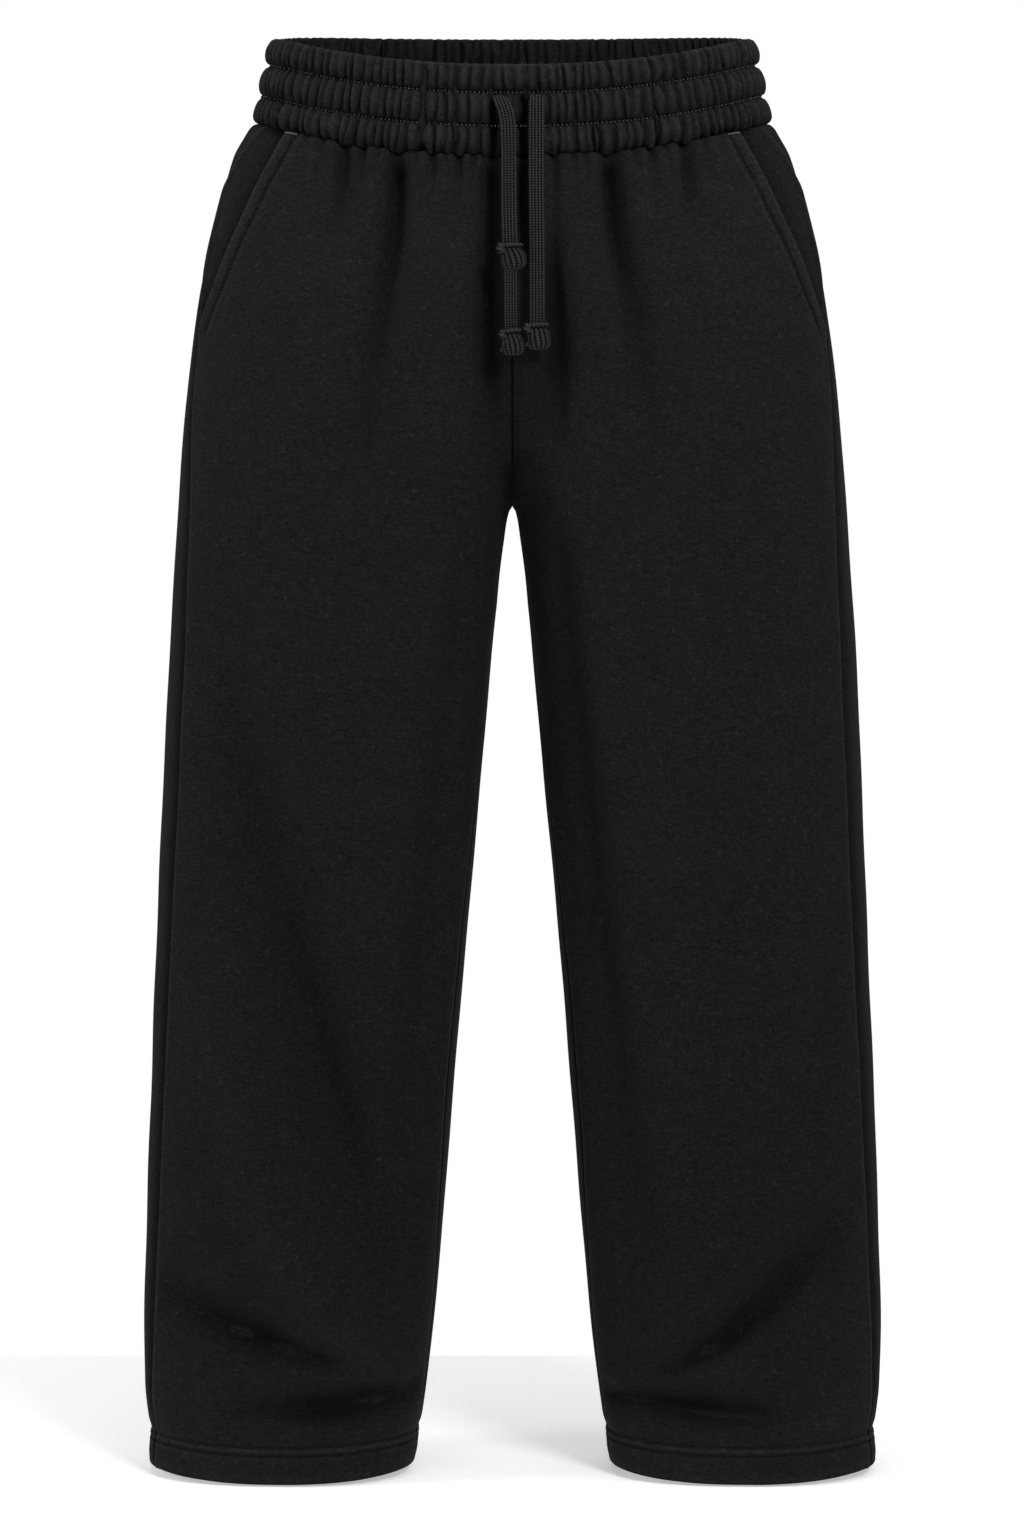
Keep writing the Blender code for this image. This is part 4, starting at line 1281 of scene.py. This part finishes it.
CORD_WIDTH = 11.2
CORD_THICKNESS = 3.4
CORD_RIGHT = (
    (-9.6, -91, -20.6), (-9.4, -94.6, -21.4), (-8.6, -97.8, -23.2), (-7.2, -100.4, -26.4),
    (-5.4, -101.9, -30.6), (-4, -102.5, -35.6), (-3.2, -102.7, -41), (-2.6, -103.2, -56),
    (-2.5, -104.6, -76), (-2.4, -106.8, -97), (-2, -109.6, -115), (-1.6, -111.8, -126.6),
    (-1.2, -113.2, -146), (-1.1, -113.3, -158), (-1.1, -113, -170), (-1, -112.7, -186),
)
CORD_LEFT = (
    (17, -90.6, -20.4), (17, -94.6, -21), (17, -97.8, -22.6), (16.9, -100.4, -25.6),
    (16.8, -101.9, -29.8), (16.8, -102.5, -35), (16.7, -102.7, -41), (16.7, -103.2, -56),
    (16.7, -104.6, -76), (16.8, -106.4, -97), (17, -108.6, -122), (17.1, -111, -152),
    (17.2, -112.8, -182.4),
)
# name, x, y, z of the middle, width, depth, height, sweep of the ribs, side loop's radius,
# whether the cord's cut end shows
KNOTS = (
    ("knot_right_middle", -0.2, -113, -136, 19.6, 13, 18, 1, 3.2, False),
    ("knot_right_end", -0.2, -112.8, -195.4, 17.6, 12.6, 18.4, 0.8, 2.5, True),
    ("knot_left_end", 17.9, -113.2, -191.6, 18.6, 13, 18.8, 0.5, 3, True),
)
CORD_WALES = 5
CORD_LOOP = 1.9  # height of a knitted loop
TURN_SIDES = 14  # points round a knot's turn of cord


def smooth_route(points, step):
    """Evenly spread points on a smooth curve through the given ones."""
    points = np.array(points)
    place = run_lengths(points)
    wanted = np.linspace(0, place[-1], int(place[-1] / step) + 1)
    columns = [smooth_value(list(zip(place, points[:, axis])), 1, wanted) for axis in range(3)]
    return np.stack(columns, axis=-1)


def cord_section(count):
    """Half outline of a flat cord with its wales: place across from -1 to 1, and thickness."""
    across = np.linspace(-1, 1, count)
    body = (1 - np.abs(across) ** 4) ** 0.5
    lobes = np.abs(np.sin(0.5 * np.pi * CORD_WALES * (across + 1)))
    return across, body * (0.72 + 0.28 * lobes**0.8)


def make_cord(name, route, narrow_from=1000):
    """A flat cord along a route, folded in where it leaves the band and, from a given distance
    on, drawn in towards its knot."""
    line = smooth_route(route, 0.6)
    across, thick = cord_section(26)
    u = np.concatenate([across, across[-2:0:-1]])
    v = np.concatenate([thick, -thick[-2:0:-1]])
    run = units(np.gradient(line, axis=0))
    width_axis = units(np.array([1, 0, 0]) - run * run[:, :1])
    thick_axis = np.cross(run, width_axis)
    length = run_lengths(line)
    wale = (u + 1) / 2 * CORD_WALES
    slant = 0.55 * np.abs(wale % 1 - 0.5)
    loop = 0.5 + 0.5 * np.cos(2 * np.pi * (length[:, None] / CORD_LOOP + slant))
    folded = 0.78 + 0.22 * ease(length / 14) - 0.17 * ease((length - narrow_from) / 8)
    half_thick = CORD_THICKNESS / 2 * (v[None, :] * (0.86 + 0.16 * loop))
    half_width = CORD_WIDTH / 2 * u[None, :] * (0.985 + 0.015 * loop) * folded[:, None]
    points = (line[:, None]
              + width_axis[:, None] * half_width[..., None]
              + thick_axis[:, None] * half_thick[..., None])
    piece = mesh_object(name, points, tube_faces(*points.shape[:2]), CORD_KNIT)
    coordinate = np.stack(np.broadcast_arrays(wale[None, :], length[:, None] / CORD_LOOP), -1)
    add_cord_map(piece, coordinate.reshape(-1, 2))
    return piece, line


def add_cord_map(piece, coordinate):
    """Write a map of wales across and loops along, from one value a point."""
    mesh = piece.data
    layer = mesh.uv_layers.new(name="cord")
    corner = np.empty(len(mesh.loops), dtype=np.int32)
    mesh.loops.foreach_get("vertex_index", corner)
    layer.data.foreach_set("uv", coordinate[corner].astype(np.float32).ravel())


def tube(points, radii, sides=TURN_SIDES, squash=1):
    """Points and faces of a round tube through a line, with a rounded end at each side."""
    line = np.asarray(points, dtype=float)
    run = units(np.gradient(line, axis=0))
    across = units(np.cross(run, (0, 1, 0)))
    out = np.cross(run, across)
    turn = np.linspace(0, 2 * np.pi, sides, endpoint=False)
    radii = np.asarray(radii, dtype=float)[:, None, None]
    ring = across[:, None] * np.cos(turn)[:, None] + squash * out[:, None] * np.sin(turn)[:, None]
    rings = line[:, None] + radii * ring
    count = len(line)
    share = np.repeat(np.linspace(0, 1, count), sides)
    return rings.reshape(-1, 3), tube_faces(count, sides), share


def make_knot(name, x, y, z, width, depth, height, sweep, loop_radius, cut_end):
    """A tight overhand knot. Under a thin turn of the cord its wales sweep down side by side
    like ribs and bulge to one side; a small loop stands out at the other."""
    points = []
    faces = []
    map_points = []

    def take(new_points, new_faces, across, along):
        start = sum(len(part) for part in points)
        points.append(np.asarray(new_points))
        faces.extend([[start + place for place in face] for face in new_faces])
        map_points.append(np.stack(np.broadcast_arrays(across, along), axis=-1))

    ribs = 13
    rings = 44
    columns = ribs * 10
    turn = np.linspace(0, 2 * np.pi, columns, endpoint=False)
    level = np.cos(np.linspace(0.02, 0.985, rings) * np.pi)
    body = unit(1 - np.abs(level) ** 5) ** 0.5
    bell = 0.88 - 0.09 * level - 0.12 * level**2
    phase = ribs / 2 * (turn[None, :] + 0.30 * sweep * level[:, None])
    rib = np.abs(np.sin(phase)) ** 0.6
    swell = (body * bell)[:, None] * (0.80 + 0.22 * rib)
    lean = 0.13 * sweep * (1 - np.clip(level + 0.25, -1, 1) ** 2) - 0.02
    bulb = np.stack([
        width / 2 * (swell * np.cos(turn) + lean[:, None]),
        depth / 2 * (0.30 + 0.70 * body * bell)[:, None] * (0.82 + 0.20 * rib) * np.sin(turn)
        * body[:, None],
        np.broadcast_to(height * (0.47 * level[:, None] - 0.03), swell.shape),
    ], axis=-1)
    take(bulb.reshape(-1, 3), tube_faces(rings, columns), (phase / np.pi).ravel(),
         (level * height / 2 / CORD_LOOP)[:, None].repeat(columns, 1).ravel())

    around = np.linspace(-0.06, 1.06, 60) * 2 * np.pi - np.pi / 2
    roll = np.stack([
        0.285 * width * np.cos(around) + 0.02 * width,
        0.36 * depth * np.sin(around),
        height * (0.415 + 0.03 * np.cos(around)),
    ], axis=-1)
    radius = 0.088 * height * np.ones(len(around))
    roll_points, roll_faces, share = tube(roll, radius, squash=1.1)
    take(roll_points, roll_faces, np.tile(np.linspace(0, 2, TURN_SIDES), len(roll)), share * 16)

    loop_turn = np.linspace(-0.15, 1.1, 26) * np.pi
    loop = np.stack([
        -width * 0.25 - loop_radius * (0.50 + 0.60 * np.sin(loop_turn)),
        -0.16 * depth - 0.10 * depth * np.sin(loop_turn),
        height * 0.30 + 0.62 * loop_radius * np.cos(loop_turn),
    ], axis=-1)
    loop_points, loop_faces, share = tube(loop, 0.96 * loop_radius
                                          * (0.8 + 0.2 * np.sin(loop_turn)))
    take(loop_points, loop_faces, np.tile(np.linspace(0, 2, TURN_SIDES), len(loop)), share * 5)

    if cut_end:
        tail = np.array([
            (-width * 0.34, -depth * 0.24, -height * 0.22),
            (-width * 0.40, -depth * 0.30, -height * 0.30),
            (-width * 0.44, -depth * 0.33, -height * 0.36),
        ])
        tail_points, tail_faces, share = tube(tail, (1, 1.1, 0.8), sides=8)
        take(tail_points, tail_faces, np.tile(np.linspace(0, 1, 8), 3), share * 2)

    whole = np.concatenate(points) + (x, y, z)
    piece = mesh_object(name, whole, faces, CORD_KNIT)
    add_cord_map(piece, np.concatenate(map_points))
    return piece


cord_right, line_right = make_cord("cord_right", CORD_RIGHT, 124)
cord_left, line_left = make_cord("cord_left", CORD_LEFT)
knots = {row[0]: make_knot("tied_" + row[0], *row[1:]) for row in KNOTS}


# ================ camera, light and floor

def make_camera():
    """Level, square to the front, 2.2 m off, at mid height of the garment."""
    data = bpy.data.cameras.new("camera")
    data.sensor_width = 36
    data.lens = 36 * 3013.7 / 1536  # the focal length and the frame's width in pixels
    camera = bpy.data.objects.new("camera", data)
    camera.location = (-0.0003, -2.2, -0.490)
    camera.rotation_euler = (np.pi / 2, 0, 0)
    SCENE.collection.objects.link(camera)
    SCENE.camera = camera


def add_soft_light(name, place, target, size, power):
    data = bpy.data.lights.new(name, "AREA")
    data.shape = "RECTANGLE"
    data.size, data.size_y = size
    data.energy = power
    light = bpy.data.objects.new(name, data)
    light.location = place
    run = np.array(target) - np.array(place)
    yaw = np.arctan2(run[1], run[0]) - np.pi / 2
    pitch = np.arctan2(run[2], np.hypot(run[0], run[1])) + np.pi / 2
    light.rotation_euler = (pitch, 0, yaw)
    SCENE.collection.objects.link(light)


# the room's light by the height of its direction, from straight down (-1) to straight up (1)
ROOM_LIGHT = ((-0.8, 1.5), (-0.3, 0.5), (-0.15, 0.5), (0.15, 0.16))
FLOOR_GLOW = 0.43
FLOOR_EDGES = (-0.7, 0.7, -0.26, 0.42)  # left, right, near, far
FLOOR_HEIGHT = HEM * MM - 0.0039
AIM = (0, 0, -0.45)
# name, place, point it faces, width and height, power
LIGHTS = (
    ("main_softbox", (1.4, -2.6, 1.6), AIM, (0.9, 0.9), 58),
    ("left_far_softbox", (-3, -0.6, 0.3), AIM, (0.6, 1.6), 31),
    ("overhead", (0, -0.1, 1.7), (0, -0.1, -1), (2, 2), 22),
    ("top_softbox", (0, -0.9, 1.9), (0, 0, -0.5), (0.8, 0.8), 5),
    ("right_softbox", (2.7, -1.25, 0.3), AIM, (0.9, 1.6), 8),
    ("low_left_softbox", (-2.4, -2, -0.7), AIM, (0.9, 0.6), 5),
    ("left_back_softbox", (-2.4, 0.6, 0.3), AIM, (0.9, 1.6), 4),
)


def make_stage():
    """A small white floor under the hems, and a room that looks even white to the camera but
    lights the cloth by the height of each direction."""
    mesh = bpy.data.meshes.new("floor")
    left, right, near, far = FLOOR_EDGES
    corners = [(x, y, FLOOR_HEIGHT)
               for x, y in ((left, near), (right, near), (right, far), (left, far))]
    mesh.from_pydata(corners, [], [(0, 1, 2, 3)])
    floor = bpy.data.objects.new("floor", mesh)
    material = bpy.data.materials.new("matt_white_floor")
    material.use_nodes = True
    shader = material.node_tree.nodes["Principled BSDF"]
    for socket, value in (("Base Color", (0.92, 0.92, 0.92, 1)), ("Roughness", 1),
                          ("Specular IOR Level", 0), ("Emission Color", (1, 1, 1, 1)),
                          ("Emission Strength", FLOOR_GLOW)):
        shader.inputs[socket].default_value = value
    mesh.materials.append(material)
    SCENE.collection.objects.link(floor)
    world = bpy.data.worlds.new("even_white")
    world.use_nodes = True
    nodes = world.node_tree.nodes
    background = nodes["Background"]
    background.inputs["Color"].default_value = (1, 1, 1, 1)
    seen, ray, axes, place, room, double, strength = (
        nodes.new("ShaderNode" + kind) for kind in (
            "LightPath", "TexCoord", "SeparateXYZ", "MapRange", "ValToRGB", "Math", "Mix"))
    place.inputs["From Min"].default_value = -1
    stops = room.color_ramp.elements
    for index, (height, light) in enumerate(ROOM_LIGHT):
        stop = stops[index] if index < 2 else stops.new(1)
        stop.position = 0.5 + 0.5 * height
        stop.color = (0.5 * light, 0.5 * light, 0.5 * light, 1)
    double.operation = "MULTIPLY"
    double.inputs[1].default_value = 2
    strength.inputs["B"].default_value = 1
    join(world.node_tree,
         (ray, "Generated", axes, 0),
         (axes, "Z", place, "Value"),
         (place, "Result", room, "Fac"),
         (room, "Color", double, 0),
         (seen, "Is Camera Ray", strength, "Factor"),
         (double, 0, strength, "A"),
         (strength, "Result", background, "Strength"))
    SCENE.world = world
    SCENE.view_settings.view_transform = "Standard"


make_camera()
make_stage()
for row in LIGHTS:
    add_soft_light(*row)


# ================ what each piece stands for

def dress(piece, slot, *nodes):
    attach(piece, "root")
    if nodes:
        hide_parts(*nodes)


for side, label in SIDES.items():
    dress(fronts[side][0], "body_fleece", "front_" + label)
    dress(backs[side][0], "body_fleece", "back_" + label)
    dress(facings[side][0], "body_fleece", "pocket_facing_" + label)
dress(waistband, "waistband_fleece", "waistband")
for piece in (band_sewing, bartack_sewing, *pocket_sewing, *hem_sewing, rise_sewing):
    dress(piece, "body_fleece")
dress(cord_right, "drawcord", "drawcord_right_upper", "drawcord_right_lower")
dress(cord_left, "drawcord", "drawcord_left")
for name, piece in knots.items():
    dress(piece, "drawcord", name)
